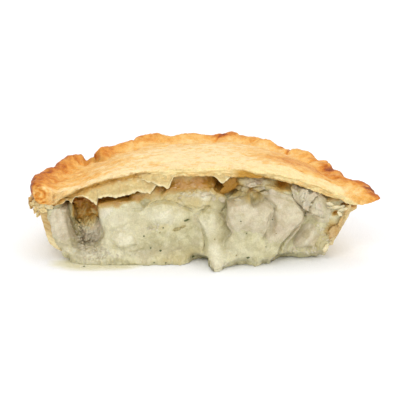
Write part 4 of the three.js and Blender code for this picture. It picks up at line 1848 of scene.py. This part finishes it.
    # patches on the cut face, by their mark: juice stains and tones of the sauce and meat, and painted
    # shade and highlights
    # amber: juice, and painted shade with warm reflected light under the lid and in the hollows
    amber: tuple[Patch, ...] = rows(
        Patch,
        (-12.6, 27.8, 4.4, 1.8, 0.85), (-6, 29.6, 6.4, 2.3, 0.85), (2.6, 30, 5.4, 2.3, 0.85),
        (8.2, 28.6, 2.8, 2.8, 1), (12.8, 29, 3, 3, 1, -30), (31, 29, 3.2, 1.6, 0.95, -14),
        (50, 23.4, 4, 1.4, 0.35), (-28, 23.6, 9, 1.5, 0.85, 4), (-34, 22.6, 4, 1.5, 0.7),
        (-25, 24.6, 9, 1.5, 0.75, 5), (-39.6, 19, 3.4, 5.5, 1), (-43.4, 18, 1.2, 4, 1, 14),
        (50.1, 18.4, 1.2, 0.9, 0.95), (48.6, 12.2, 2.4, 3.4, 0.6, -35), (-0.6, 24.2, 3.4, 2, 0.18),
        (20.4, 26.6, 3.6, 1.6, 0.6),
    )
    warm: tuple[Patch, ...] = rows(
        Patch,
        (-17, 25.4, 4, 2.4, 0.7), (22, 30, 7, 2, 0.8), (-1, 24, 9, 3.6, 0.9), (-8.6, 25, 5, 2.4, 0.7),
        (7.6, 13, 3, 6, 0.3), (-2, 4, 6, 2.4, 0.4), (-24, 16, 6, 5, 0.3), (-13, 14.6, 2.6, 1.2, 0.6),
        (-7, 14, 3, 1.2, 0.6, 15), (44, 8, 4, 6, 0.5), (-9, 2, 6, 1.4, 0.6),
    )
    # painted shade in recesses, valleys, cracks and on sides turned from the light
    dim: tuple[Patch, ...] = rows(
        Patch,
        (36.4, 23.8, 0.8, 3, 0.7, 36), (-44.4, 13, 2.2, 8.6, 1, 14), (20.4, 26.6, 4.6, 2.2, 1.2),
        (20.4, 24.6, 0.9, 0.9, 1), (14, 26, 3, 1.2, 0.8, 25), (-38, 8, 4, 4, 0.5),
        (36.6, 11.4, 1.8, 5.4, 0.4, -40), (11.4, 12, 1.8, 5.6, 0.35, 8), (8, 23.6, 3, 2, 0.4),
        (-14, 6, 8, 2.6, 0.25),
    )
    # pale: mostly painted highlights and glints on bulges, edges and the foot, with some paler cream
    pale: tuple[Patch, ...] = rows(
        Patch,
        (6, 15, 2.2, 4, 0.55), (40.8, 9.4, 1.2, 6, 0.5, -40), (-13, 18.4, 6, 2.8, 0.8),
        (6.4, 6, 2.8, 3, 0.9), (8.6, 1.4, 3, 3, 0.7), (2.6, 15, 1.4, 4, 0.7, 25),
        (-26.5, 9, 4.6, 3.2, 0.9), (1, 25.4, 3, 0.9, 0.8, -20), (-29, 16, 7, 6, 0.7), (17, 6, 4, 3, 0.3),
        (-38, 3.4, 12, 4, 0.65), (2.2, 25.2, 1.8, 0.9, 1), (12.6, 9, 3, 4, 0.35),
    )
    pink: tuple[Patch, ...] = rows(
        Patch,
        (-48, 8, 6, 6, 0.3), (-40, 7, 5, 4, 0.6), (0, 26.6, 5, 1.8, 0.7), (30, 16, 3, 4, 0.35),
        (18, 28.4, 5, 2.4, 0.8),
    )
    dollops: tuple[Dollop, ...] = rows(
        Dollop,
        (-47, 1.2, 2.2, 5, 2.2, 2.6), (-39, 0.2, 2.4, 7, 2.6, 3), (-31, -0.8, 2, 6, 2.8, 2.6),
        (17.5, -3.6, 8, 7.5, 2.9, 6.5), (37, 1.4, 1.8, 6, 2.2, 2.6), (42, 2.6, 2.4, 3, 2.2, 3),
        (-16, 4.4, 25.2, 5.4, 4, 4.6), (-21, 4, 24.4, 3.4, 2.6, 2.2), (45.4, 3.6, 6, 2.6, 2.4, 5),
        (9.4, -3.6, 2.2, 6.6, 4.6, 4.8), (-3, 3.6, 31, 12, 3.2, 3), (-2, 2.2, 28.8, 9, 2.7, 2.4),
        (17.6, 3.8, 29.8, 5.4, 3.2, 2.6), (25, 4.4, 29.2, 4.6, 3.2, 2.2), (34, 4.6, 27.6, 5, 3, 2.4),
        (50, 3.2, 23, 4, 2.4, 1.7), (-45.8, 6.4, 16.5, 1.6, 3.4, 4.5), (-53, 3.2, 20.6, 4.4, 2.8, 1.8),
        (-52.8, 1.4, 18, 1.9, 1.9, 3.4), (-51.4, 1.4, 13, 1.7, 1.8, 4.2), (-49.8, 1.4, 8, 2.2, 2, 4.2),
        (-47.6, 0.8, 4, 2.4, 2, 3), (-44, 5, 9.5, 1.8, 3.2, 4.5),
    )
    hem: Line = (
        (-50, 1.6), (-46, -1.2), (-42, -2.8), (-33, -3.6), (-20.6, -3.6), (-18, -4.2), (-15, -3.2),
        (-13.4, -3.8), (-9, -3.4), (-6, -3.8), (-3.2, -2.2), (-1.6, 1.6), (0.4, 3), (3.8, 2.6), (4, 0),
        (4.1, -5.4), (5, -9.6), (6.2, -11.6), (8, -10.6), (9.4, -8.3), (11.6, -6.4), (13.9, -4.4),
        (17.7, -3.1), (19.6, -4), (21, -5.7), (22.2, -4.6), (23.7, -2.2), (26.3, -2.6), (27.4, 0),
        (28.8, 2.4), (30.4, 4.6), (34.6, 4.4), (38, 3.6), (43.6, 4.4), (46, 6),
    )
    coat: Piece = field(init=False, default=None)
    chunks: list[Piece] = field(init=False, default_factory=list)
    cell: float = 0.5  # width of the cells in which the face's front is noted
    fronts: dict[tuple[int, int], float] = field(init=False, default_factory=dict)

    def relief(self, at: Array) -> Array:
        """How far the cut face stands out at each point, over the solids' own shape.

        Args:
            at: The points.

        Returns:
            One value for each point.
        """
        near = ease(9, 4, at[:, 1])
        total = sum(feature.stands(at) for feature in (*self.creases, *self.sheets))
        total += sum(mound.share(at) for mound in self.mounds)
        total -= sum(hollow.share(at) for hollow in self.hollows)
        return near * total

    def grains(self, at: Array) -> Array:
        """Lumps, pits and thin folds of torn meat and sauce, coarser in some places.

        Args:
            at: The points.

        Returns:
            How far each point swells.
        """
        coarse = self.overlap(self.coarse, at)
        lumps = np.abs(grain(at, 2.4, 161)) + 0.6 * np.abs(grain(at, 1.2, 162)) + 0.3 * grain(at, 0.7, 163)
        soft = layered_grain(at, 4, 61) + 0.25 * grain(at, 0.9, 65)
        bent = at + 2.2 * np.stack([grain(at, 7, 164), 0 * at[:, 0], grain(at, 7, 165)], axis=1)
        folds = bell(grain(bent, (9, 20, 5), 166) / 0.07) * ease(-0.1, 0.4, grain(at, 6, 167))
        curds = ease(0.3, 0.8, grain(at, 1.7, 169)) * ease(-0.2, 0.4, grain(at, 7, 170))
        return 0.36 * soft - 0.14 * folds + 0.28 * curds + (0.18 + 0.7 * coarse) * (lumps - 0.45)

    def foot(self, x: Array) -> Array:
        """Where the torn outline of the sauce meets the table: its y."""
        line = np.array(self.hem)
        return np.interp(x, line[:, 0], line[:, 1])

    def shift_hem(self, skin: Skin) -> None:
        """Moves the foot of the cut face to its torn outline on the table.

        Args:
            skin: The sauce's points.
        """
        x, y, z = skin.at.T
        column = np.round(x / self.cell).astype(int)
        foot = (z < 1.6) & (y < 9)
        front = {int(k): y[foot & (column == k)].min() for k in np.unique(column[foot])}
        now = np.array([front.get(int(k), 0) for k in column])
        wanted = self.foot(x) + 0.5 * grain(on_line(x), 1.3, 168)
        inside = ease(-53, -49, x) * ease(46, 44, x) * ease(10, 6, y)
        skin.push((0, 1, 0), inside * ease(4.4, 0.8, z) * (wanted - now))

    @staticmethod
    def draw_in(skin: Skin) -> None:
        """Narrows the foot at the left end of the cut."""
        x, _, z = skin.at.T
        skin.push((1, 0, 0), 3.4 * ease(8, 1, z) * ease(-44, -51, x))

    @staticmethod
    def overlap(patches: tuple[Patch, ...], at: Array) -> Array:
        """How strongly overlapping patches mark each point.

        Args:
            patches: The patches.
            at: The points.

        Returns:
            One value for each point.
        """
        clean = np.ones(len(at))
        for patch in patches:
            clean *= 1 - patch.share(at)
        return 1 - clean

    def tinted(self, mark: Mark, at: Array) -> Array:
        """How strongly one mark shows at each point."""
        return self.overlap(getattr(self, mark.value), at)

    def stain_and_shade(self, skin: Skin, share: float) -> None:
        """Paints what lies at the cut with the sauce's marks there, juice stains and painted shade, at a
        share of the strength.
        """
        for mark in JUICE_AND_SHADE_MARKS:
            skin.paint(mark, share * self.tinted(mark, skin.at))

    def build(self, frame: dict) -> None:
        """Makes the coat of sauce over everything, and a skin for each chunk.

        Args:
            frame: The loaded frame.
        """
        names = [chunk.node for chunk in CHUNKS]
        lumps = [self.lump(dollop) for dollop in self.dollops]
        inside = copy_solids(frame, names, "coated_chunks", 0.05)
        coat = copy_solids(frame, ["cream_filling"], "sauce_coat", 0.3)
        self.coat = join_pieces([coat, inside, *lumps], "sauce_coat")
        fine_skin(self.coat, 0.5, 3)
        refine_cut(self.coat, self.pie, 3.6, 0.36)
        for chunk in CHUNKS:
            piece = copy_solids(frame, [chunk.node], chunk.node.replace("chicken", "meat"), 0.4)
            fine_skin(piece, 0.3, 2)
            self.chunks.append(piece)

    def lump(self, dollop: Dollop) -> Piece:
        """One lump of sauce as a closed ball, pulled to its sizes.

        Args:
            dollop: Its place and sizes.

        Returns:
            The ball.
        """
        place = self.pie.world(dollop.x, dollop.y, dollop.z)
        add = bpy.ops.mesh.primitive_ico_sphere_add
        piece = new_shape(add, subdivisions=4, radius=MM, location=place)
        bpy.ops.transform.resize(value=(dollop.rx, dollop.ry, dollop.rz))
        bpy.ops.object.transform_apply(location=True, rotation=True, scale=True)
        return piece

    def dress(self) -> None:
        """Works the cut face and paints it."""
        skin = Skin(self.coat, self.pie)
        skin.push((0, -1, 0), self.relief(skin.at))
        self.shift_hem(skin)
        self.draw_in(skin)
        skin.settle()
        front = ease(9, 4, skin.at[:, 1])
        skin.swell(front * self.grains(skin.at))
        skin.settle()
        at = skin.at
        spread = at + 1.2 * np.stack([grain(at, 3, 66 + 2 * k) for k in range(3)], axis=1)
        # juice stains and painted shade from the patches, spread unevenly
        for mark in JUICE_AND_SHADE_MARKS:
            skin.paint(mark, self.tinted(mark, spread) + 0.1 * grain(at, 3, 66))
        blush = 0.25 * ease(0.1, 0.7, grain(at, 5, 67))
        skin.paint(Mark.PINK, self.tinted(Mark.PINK, at) + blush)
        # pale: random paler clouds, and the pale patches, which are mostly painted highlights
        cloud = 0.3 * ease(0, 0.7, grain(at, 3, 69))
        skin.paint(Mark.PALE, 0.9 * self.tinted(Mark.PALE, at) + cloud)
        skin.paint(Mark.FIBRE, 0.0)
        self.settle_piece(self.coat, CREAM, "cream_sauce", "cream_filling")
        self._keep_front(skin)
        for seed, (chunk, piece) in enumerate(zip(CHUNKS, self.chunks)):
            self._dress_chunk(chunk, piece, 200 + 10 * seed)

    def _dress_chunk(self, chunk: Chunk, piece: Piece, seed: int) -> None:
        """Tears one chunk along its fibres and paints it.

        Args:
            chunk: What the chunk is like.
            piece: Its skin.
            seed: Picks its own pattern.
        """
        skin = Skin(piece, self.pie)
        sunk = sum(patch.share(skin.at) for patch in chunk.sinks)
        skin.push((0, -1, 0), self.relief(skin.at) - sunk)
        skin.settle()
        turn = math.radians(chunk.lean)
        across = skin.at[:, 0] * math.cos(turn) - skin.at[:, 2] * math.sin(turn)
        along = skin.at[:, 0] * math.sin(turn) + skin.at[:, 2] * math.cos(turn)
        turned = np.stack([across, skin.at[:, 1], along], axis=1)
        fibres = 0.6 * grain(turned, (1, 2, 4), seed)
        fibres += 0.5 * grain(turned, (0.5, 1, 1.6), seed + 4)
        lumps = layered_grain(skin.at, 2.6, seed + 1)
        skin.swell(chunk.torn * (0.8 * fibres + 0.9 * lumps) + 0.5 * self.grains(skin.at))
        skin.settle()
        at = skin.at
        skin.paint(Mark.FIBRE, 0.3 + 0.6 * fibres)
        self.stain_and_shade(skin, 0.9)
        blush = chunk.pink + 0.3 * grain(at, 3, seed + 2)
        skin.paint(Mark.PINK, 0.6 * self.tinted(Mark.PINK, at) + blush)
        cloud = chunk.pale + 0.35 * grain(at, 2, seed + 3)
        skin.paint(Mark.PALE, cloud + self.tinted(Mark.PALE, at))
        self.settle_piece(piece, CHICKEN, "chicken", chunk.node)
        self._keep_front(skin)

    def _keep_front(self, skin: Skin) -> None:
        """Notes how far forward a skin is at each small cell of the cut face.

        Args:
            skin: The skin's points.
        """
        near = skin.at[skin.at[:, 1] < 12.0]
        for x, y, z in near:
            key = (round(x / self.cell), round(z / self.cell))
            self.fronts[key] = min(self.fronts.get(key, 1e9), y)

    def surface(self, x: float, z: float) -> float:
        """How far forward the cut face is at a place: its y.

        Args:
            x: The place, along the cut.
            z: Its height.

        Returns:
            The y there.
        """
        column, row = round(x / self.cell), round(z / self.cell)
        cells = [(column + i, row + j) for i in (-1, 0, 1) for j in (-1, 0, 1)]
        return float(np.median([self.fronts[cell] for cell in cells if cell in self.fronts] or [0.0]))


@dataclass(frozen=True)
class Scatter:
    """Bits strewn over an oval of the cut face: how many, and their size range."""

    where: Patch
    count: int
    long: tuple[float, float]
    wide: tuple[float, float]


@dataclass
class Shreds(Assembly):
    """Small torn strands and crumbs of chicken that lie in the sauce."""

    filling: Filling
    seed: int = 7
    scatters: tuple[Scatter, ...] = (
        Scatter(Patch(39, 24.6, 3.6, 2.4, 1, -20), 7, (1.2, 2.2), (0.5, 0.8)),
        Scatter(Patch(-40, 9.6, 4.4, 5, 1), 60, (0.5, 1.2), (0.4, 0.7)),
        Scatter(Patch(-36, 3.8, 8, 2.2, 1), 30, (0.4, 1), (0.3, 0.5)),
        Scatter(Patch(46, 13, 2, 7, 1, 15), 14, (0.5, 1.4), (0.3, 0.5)),
        Scatter(Patch(38, 4, 6, 1.6, 1), 14, (0.5, 1.2), (0.3, 0.5)),
        Scatter(Patch(-16, 14.2, 3, 1.6, 1), 12, (0.3, 0.7), (0.25, 0.45)),
        Scatter(Patch(-2, 26, 5, 2, 1), 10, (0.5, 1.4), (0.25, 0.45)),
    )

    def build(self) -> None:
        """Makes one bit and strews copies of it."""
        draw = np.random.default_rng(self.seed)
        bits = [self._bit(scatter, draw) for scatter in self.scatters for _ in range(scatter.count)]
        self.piece = join_pieces(bits, "meat_shreds")

    def _bit(self, scatter: Scatter, draw: np.random.Generator) -> Piece:
        """Makes one lumpy strand, half sunk in the face.

        Args:
            scatter: Where it may lie, and its size range.
            draw: Where its random numbers come from.

        Returns:
            The strand.
        """
        oval, turn = scatter.where, math.radians(scatter.where.turn)
        reach, way = math.sqrt(draw.random()), 2 * math.pi * draw.random()
        across, up = oval.wide * reach * math.cos(way), oval.high * reach * math.sin(way)
        x = oval.x + across * math.cos(turn) - up * math.sin(turn)
        z = max(oval.z + across * math.sin(turn) + up * math.cos(turn), 0.6)
        y = self.filling.surface(x, z)
        piece = new_shape(bpy.ops.mesh.primitive_ico_sphere_add, subdivisions=2, radius=1)
        skin = Skin(piece, self.pie)
        ball = skin.modelled()
        ball *= (1 + 0.4 * grain(ball, 0.9, int(draw.integers(1000, 9000))))[:, None]
        long, wide = draw.uniform(*scatter.long), draw.uniform(*scatter.wide)
        local = ball * (long, 0.8 * wide, wide)
        local[:, 2] += draw.uniform(-0.3, 0.3) * local[:, 0] ** 2 / long
        turns = [draw.uniform(-most, most) for most in (90, 20, 25)]
        lie = Flake(0, 0, 0, 1, 1, *turns)
        skin.at = local @ lie.turned().T + (x, y + 0.45 * wide, z)
        skin.settle()
        skin.paint(Mark.PALE, draw.uniform(0, 0.5))
        skin.paint(Mark.PINK, draw.uniform(0, 0.5))
        skin.paint(Mark.FIBRE, 0.3)
        self.filling.stain_and_shade(skin, 0.7)
        return piece

    def dress(self) -> None:
        """Gives the bits their meat."""
        self.settle_piece(self.piece, CHICKEN, "chicken")


@dataclass
class Shards(Assembly):
    """Thin angular slivers of chicken torn out of the cut face. Their y is from the face."""

    filling: Filling
    shards: tuple[Flake, ...] = rows(
        Flake,
        (36.2, -0.5, 25.2, 2.8, 8.2, -29, -20, 0), (41, -0.4, 25, 3, 7.5, 42, -25, 0),
        (38.6, -0.3, 26.8, 4.2, 3.8, -15, -35, 0), (39.4, -0.5, 22.8, 2.6, 4, 20, -10, 0),
        (43.6, -0.2, 22.4, 2.4, 5, -35, -15, 0), (35.2, -0.2, 28, 3, 2.4, 0, -40, 0),
        (15, -0.2, 28.2, 5, 3.4, 25, -25, 0), (22.6, -0.2, 28.2, 5.4, 2.6, -15, -30, 0),
        (27.4, -0.2, 27, 4.4, 2.4, 20, -25, 0), (13.6, -0.4, 26.4, 3.4, 2, -30, -20, 0),
        (17.4, -0.3, 27.6, 2.6, 3, 30, -15, 0), (24.6, -0.3, 26.4, 3.6, 2, 15, -20, 0),
        (19.6, -0.3, 29.4, 3.6, 1.8, -10, -30, 0), (14.6, -0.3, 24.8, 3, 1.4, 10, -20, 0),
        (2.8, -0.4, 26.4, 4.4, 1.6, -25, -30, 0), (5.6, -0.3, 27.2, 3.6, 2, 40, -25, 0),
        (6.4, -0.2, 24.6, 3.4, 2, -30, -20, 0), (9, -0.2, 24.4, 3.4, 2.4, 30, -20, 0),
        (0, -0.2, 27.4, 4, 1.6, 5, -35, 0), (41, -0.3, 18.6, 6, 1.4, -5, -45, 0),
        (44.6, -0.2, 19.4, 3, 2, 30, -30, 0),
    )

    def build(self) -> None:
        """Makes every sliver on the face and joins them."""
        slivers = [self._shard(shard, index) for index, shard in enumerate(self.shards)]
        self.piece = join_pieces(slivers, "meat_slivers")

    def _shard(self, shard: Flake, index: int) -> Piece:
        """Makes one sliver with its paint.

        Args:
            shard: What it is like.
            index: Picks its own pattern.

        Returns:
            The sliver.
        """
        lifted = replace(shard, y=shard.y + self.filling.surface(shard.x, shard.z) + 0.25)
        piece = torn_leaf(self.pie, lifted, 800 + 3 * index, 5, 0.5)
        skin = Skin(piece, self.pie)
        skin.swell(0.12 * grain(skin.at, 1, 860 + index))
        skin.settle()
        skin.paint(Mark.PALE, 0.2 + 0.5 * grain(skin.at, 2, 880 + index))
        skin.paint(Mark.PINK, 0.35 + 0.3 * grain(skin.at, 3, 900 + index))
        skin.paint(Mark.FIBRE, 0.3)
        self.filling.stain_and_shade(skin, 0.6)
        return piece

    def dress(self) -> None:
        """Gives the slivers their meat."""
        self.settle_piece(self.piece, CHICKEN, "chicken")


@dataclass
class HollowMeat(Assembly):
    """Juicy brown bits of meat and gravy that sit back in the hollows under the lid, painted darker with
    the hollows' shade.
    """

    filling: Filling
    lumps: tuple[Dollop, ...] = rows(
        Dollop,
        (-42.4, 8.4, 20.8, 3.2, 2.6, 2.6), (-38.6, 8.6, 22.4, 3.6, 3.2, 2.2),
        (-36.6, 7.8, 18.4, 2.6, 2.6, 4.6), (-40.4, 11, 18, 5.6, 3, 5), (-42.4, 9.6, 14.8, 2.8, 2.6, 3.4),
        (-38.6, 9, 15.4, 2.4, 2.4, 2.4), (-29, 9.4, 25.4, 9, 3.4, 3),
    )

    def build(self) -> None:
        """Makes each lump as a closed ball and melts them together."""
        balls = [self.filling.lump(dollop) for dollop in self.lumps]
        self.piece = join_pieces(balls, "hollow_meat")
        fine_skin(self.piece, 0.34, 3)

    def dress(self) -> None:
        """Tears the lumps and paints them amber and dark: juice, and the painted shade of the hollow."""
        skin = Skin(self.piece, self.pie)
        rough = np.abs(grain(skin.at, 2.2, 702)) - 0.4
        skin.swell(1.4 * layered_grain(skin.at, 3, 700) + 1.2 * rough + 0.3 * grain(skin.at, 0.8, 705))
        skin.settle()
        at = skin.at
        # amber rising towards the lid: juice and painted shade
        amber_share = 0.7 + 0.25 * ease(16, 21, at[:, 2]) + 0.8 * layered_grain(at, 2.4, 710)
        skin.paint(Mark.AMBER, amber_share * ease(9, 14, at[:, 2]))
        skin.paint(Mark.FIBRE, 0.5 + 0.5 * grain(at, (1, 1, 4), 715))
        # painted shade in patches
        skin.paint(Mark.DIM, 0.9 * ease(0, 0.5, grain(at, 2.2, 716)))
        skin.paint(Mark.PALE, 0.0)
        skin.paint(Mark.PINK, 0.6 * ease(0, 0.5, grain(at, 2.6, 717)))
        skin.paint(Mark.WARM, 0.0)
        self.settle_piece(self.piece, CHICKEN, "chicken")


@dataclass(frozen=True)
class Leaf:
    """One bit of herb on the cut: its place, half length, half width and turn in degrees."""

    x: float
    z: float
    long: float
    wide: float
    turn: float = 0.0
    y: float | None = None  # where it isn't on the cut face


@dataclass
class Herbs(Assembly):
    """Small bits of herb on the cut face: dark green ones, and a wilted stalk."""

    filling: Filling
    green: tuple[Leaf, ...] = rows(
        Leaf,
        (-3.9, 16.8, 1.2, 0.3, 20), (-12.2, 14.2, 0.25, 0.2), (-19.2, 10.6, 0.3, 0.25),
        (-16.8, 6, 0.3, 0.22, 80), (-13.2, 5.2, 0.42, 0.38), (-15.5, 0.9, 0.3, 0.2),
        (-11.3, 0.9, 0.35, 0.2, 60), (15.8, 18.6, 0.25, 0.2), (18.4, 3.9, 0.6, 0.32, 10),
        (17.9, 13.2, 0.22, 0.18, 40), (24.9, 7.8, 0.22, 0.18), (27.2, 18.4, 0.25, 0.2, 50),
        (-52, 20.6, 0.3, 0.2), (-1.4, 1.8, 0.6, 0.3, 30), (-40.8, 0.3, 0.35, 0.22, 0, -5.4),
    )
    wilted: tuple[Leaf, ...] = rows(
        Leaf,
        (-7.4, 13.7, 1.5, 0.62, 14), (-5.2, 14.5, 1.3, 0.42, 22), (6.4, 10.6, 0.32, 0.26),
        (14.2, 5.2, 0.3, 0.2, 80), (28.6, 12.6, 0.22, 0.18), (-13.4, 12.4, 0.35, 0.2, 40),
    )
    stalks: Piece = field(init=False, default=None)

    def build(self) -> None:
        """Makes each bit from a small ball pressed flat on the sauce."""
        green = [self._bit(leaf, seed) for seed, leaf in enumerate(self.green, 500)]
        wilted = [self._bit(leaf, seed) for seed, leaf in enumerate(self.wilted, 600)]
        self.piece = join_pieces(green, "herb_bits")
        self.stalks = join_pieces(wilted, "herb_stalks")

    def _bit(self, leaf: Leaf, seed: int) -> Piece:
        """Makes one bit, ragged and turned in the plane of the cut.

        Args:
            leaf: What it is like.
            seed: Picks its own outline.

        Returns:
            The bit.
        """
        y = self.filling.surface(leaf.x, leaf.z) if leaf.y is None else leaf.y
        piece = new_shape(bpy.ops.mesh.primitive_ico_sphere_add, subdivisions=3, radius=1)
        skin = Skin(piece, self.pie)
        ball = skin.modelled()
        ball *= (1 + 0.35 * grain(ball, 0.7, seed))[:, None]
        turn = math.radians(leaf.turn)
        across, up = ball[:, 0] * leaf.long, ball[:, 2] * leaf.wide
        x = across * math.cos(turn) - up * math.sin(turn)
        z = across * math.sin(turn) + up * math.cos(turn)
        skin.at = np.stack([x + leaf.x, ball[:, 1] * 0.25 + y - 0.08, z + leaf.z], axis=1)
        skin.settle()
        skin.paint(Mark.THIN, 0.0)
        return piece

    def dress(self) -> None:
        """Gives the bits their green and brown."""
        self.settle_piece(self.piece, HERB, "cream_sauce")
        self.settle_piece(self.stalks, WILTED, "cream_sauce")


@dataclass
class Puddle(Assembly):
    """Thin sauce that has run out over the table at the left of the cut."""

    x: float = -36.0
    y: float = -2.6
    wide: float = 21.0
    deep: float = 8.6
    thick: float = 0.15
    front: float = -10.7  # it runs no further forward than this

    def build(self) -> None:
        """Makes the film from a flattened ball with an uneven edge."""
        add = bpy.ops.mesh.primitive_uv_sphere_add
        self.piece = new_shape(add, segments=160, ring_count=64, radius=1)
        self.piece.name = "thin_sauce"
        skin = Skin(self.piece, self.pie)
        ball = skin.modelled()
        out = np.hypot(ball[:, 0], ball[:, 1])
        ring = ball * (1, 1, 0) / np.maximum(out, 1e-6)[:, None]
        ragged = 1 + 0.2 * grain(ring, 0.8, 501) + 0.1 * grain(ring, 0.35, 502)
        x = self.x + ball[:, 0] * self.wide * ragged
        y = self.y + ball[:, 1] * self.deep * ragged
        rise = np.maximum(ball[:, 2], 0) * (1 + 0.5 * grain(ball, 0.3, 503))
        skin.at = np.stack([x, np.maximum(y, self.front), 0.02 + self.thick * rise], axis=1)
        skin.settle()
        edge = ease(0.45, 1, out + 0.15 * grain(ball, 0.6, 504))
        skin.paint(Mark.THIN, 0.64 + 0.36 * edge)

    def dress(self) -> None:
        """Gives the film its thin sauce."""
        self.settle_piece(self.piece, THIN_SAUCE, "cream_sauce")


# ---- the studio ----


@dataclass(frozen=True)
class Lamp:
    """A square soft lamp: its name, place, width and power."""

    name: str
    place: tuple[float, float, float]
    size: float
    power: float


@dataclass
class Studio:
    """A plain white table, soft light all round and the camera."""

    pie: PieFrame
    effects: Effects
    height: float = 20.0  # the camera's degrees above the table
    distance: float = 2.5
    view_width: float = 0.1444  # width that the camera takes in at the pie
    target: tuple[float, float, float] = (1.08, 0.0, 23.8)  # from the pie's axis
    sensor: float = 36.0
    room: float = 0.78  # light from all round
    table_size: float = 6.0
    lamps: tuple[Lamp, ...] = (
        Lamp("key_light", (-0.25, -0.85, 0.85), 0.9, 3.4),
        Lamp("glint_light", (-0.2, -0.8, 0.8), 0.16, 1.1),
        Lamp("top_light", (0.1, 0.3, 1.15), 1.0, 3.8),
        Lamp("fill_light", (0.9, -0.5, 0.5), 0.7, 2.2),
    )

    def build(self) -> None:
        """Sets up the table, the light and the camera."""
        self._lay_table()
        self._light_room()
        for lamp in self.lamps:
            self._hang(lamp)
        self._place_camera()

    def _lay_table(self) -> None:
        """Adds the table just under the pie."""
        place = (0.0, 0.0, -0.1 * MM)
        table = new_shape(bpy.ops.mesh.primitive_plane_add, size=self.table_size, location=place)
        table.name = "white_table"
        bpy.ops.object.transform_apply(location=True)
        table.data.materials.append(TABLE.material(self.effects))
        table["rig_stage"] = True

    def _light_room(self) -> None:
        """Gives the room an even white light."""
        world = bpy.data.worlds.new("soft_room")
        world.use_nodes = True
        background = world.node_tree.nodes["Background"]
        background.inputs["Color"].default_value = (1.0, 1.0, 1.0, 1.0)
        background.inputs["Strength"].default_value = self.room
        bpy.context.scene.world = world

    def _hang(self, lamp: Lamp) -> None:
        """Adds one lamp that faces the pie.

        Args:
            lamp: What it is like.
        """
        made = new_shape(bpy.ops.object.light_add, type="AREA", location=lamp.place)
        made.name = lamp.name
        made.data.size = lamp.size
        made.data.energy = lamp.power
        way = Vector((0.0, 0.0, 0.01)) - Vector(lamp.place)
        made.rotation_euler = way.to_track_quat("-Z", "Y").to_euler()

    def _place_camera(self) -> None:
        """Adds the camera, which looks at the cut face from a little above."""
        camera = new_shape(bpy.ops.object.camera_add)
        camera.name = "camera"
        rise = math.radians(self.height)
        away = Vector((0.0, -math.cos(rise), math.sin(rise)))
        camera.location = self.pie.world(*self.target) + self.distance * away
        camera.rotation_euler = (math.pi / 2 - rise, 0.0, 0.0)
        camera.data.sensor_width = self.sensor
        camera.data.lens = self.sensor * self.distance / self.view_width
        camera.data.clip_end = 20.0
        bpy.context.scene.camera = camera
        bpy.context.scene.view_settings.view_transform = "Standard"


def main() -> None:
    """Builds the pie and its studio."""
    logging.basicConfig(level=logging.INFO)
    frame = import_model()
    low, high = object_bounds()
    pie, effects = PieFrame.from_lid(low, high), Effects.build()
    filling, lid = Filling(pie, effects), Lid(pie, effects)
    case = Case(pie, effects, filling)
    for part in (case, filling, lid):
        part.build(frame)
        part.dress()
    plies = TornPlies(pie, effects, lid)
    toppings = [kind(pie, effects, filling) for kind in (HollowMeat, Shreds, Shards, Herbs)]
    for part in (plies, Flakes(pie, effects), *toppings, Puddle(pie, effects)):
        part.build()
        part.dress()
    Studio(pie, effects).build()


if __name__ == "__main__":
    main()
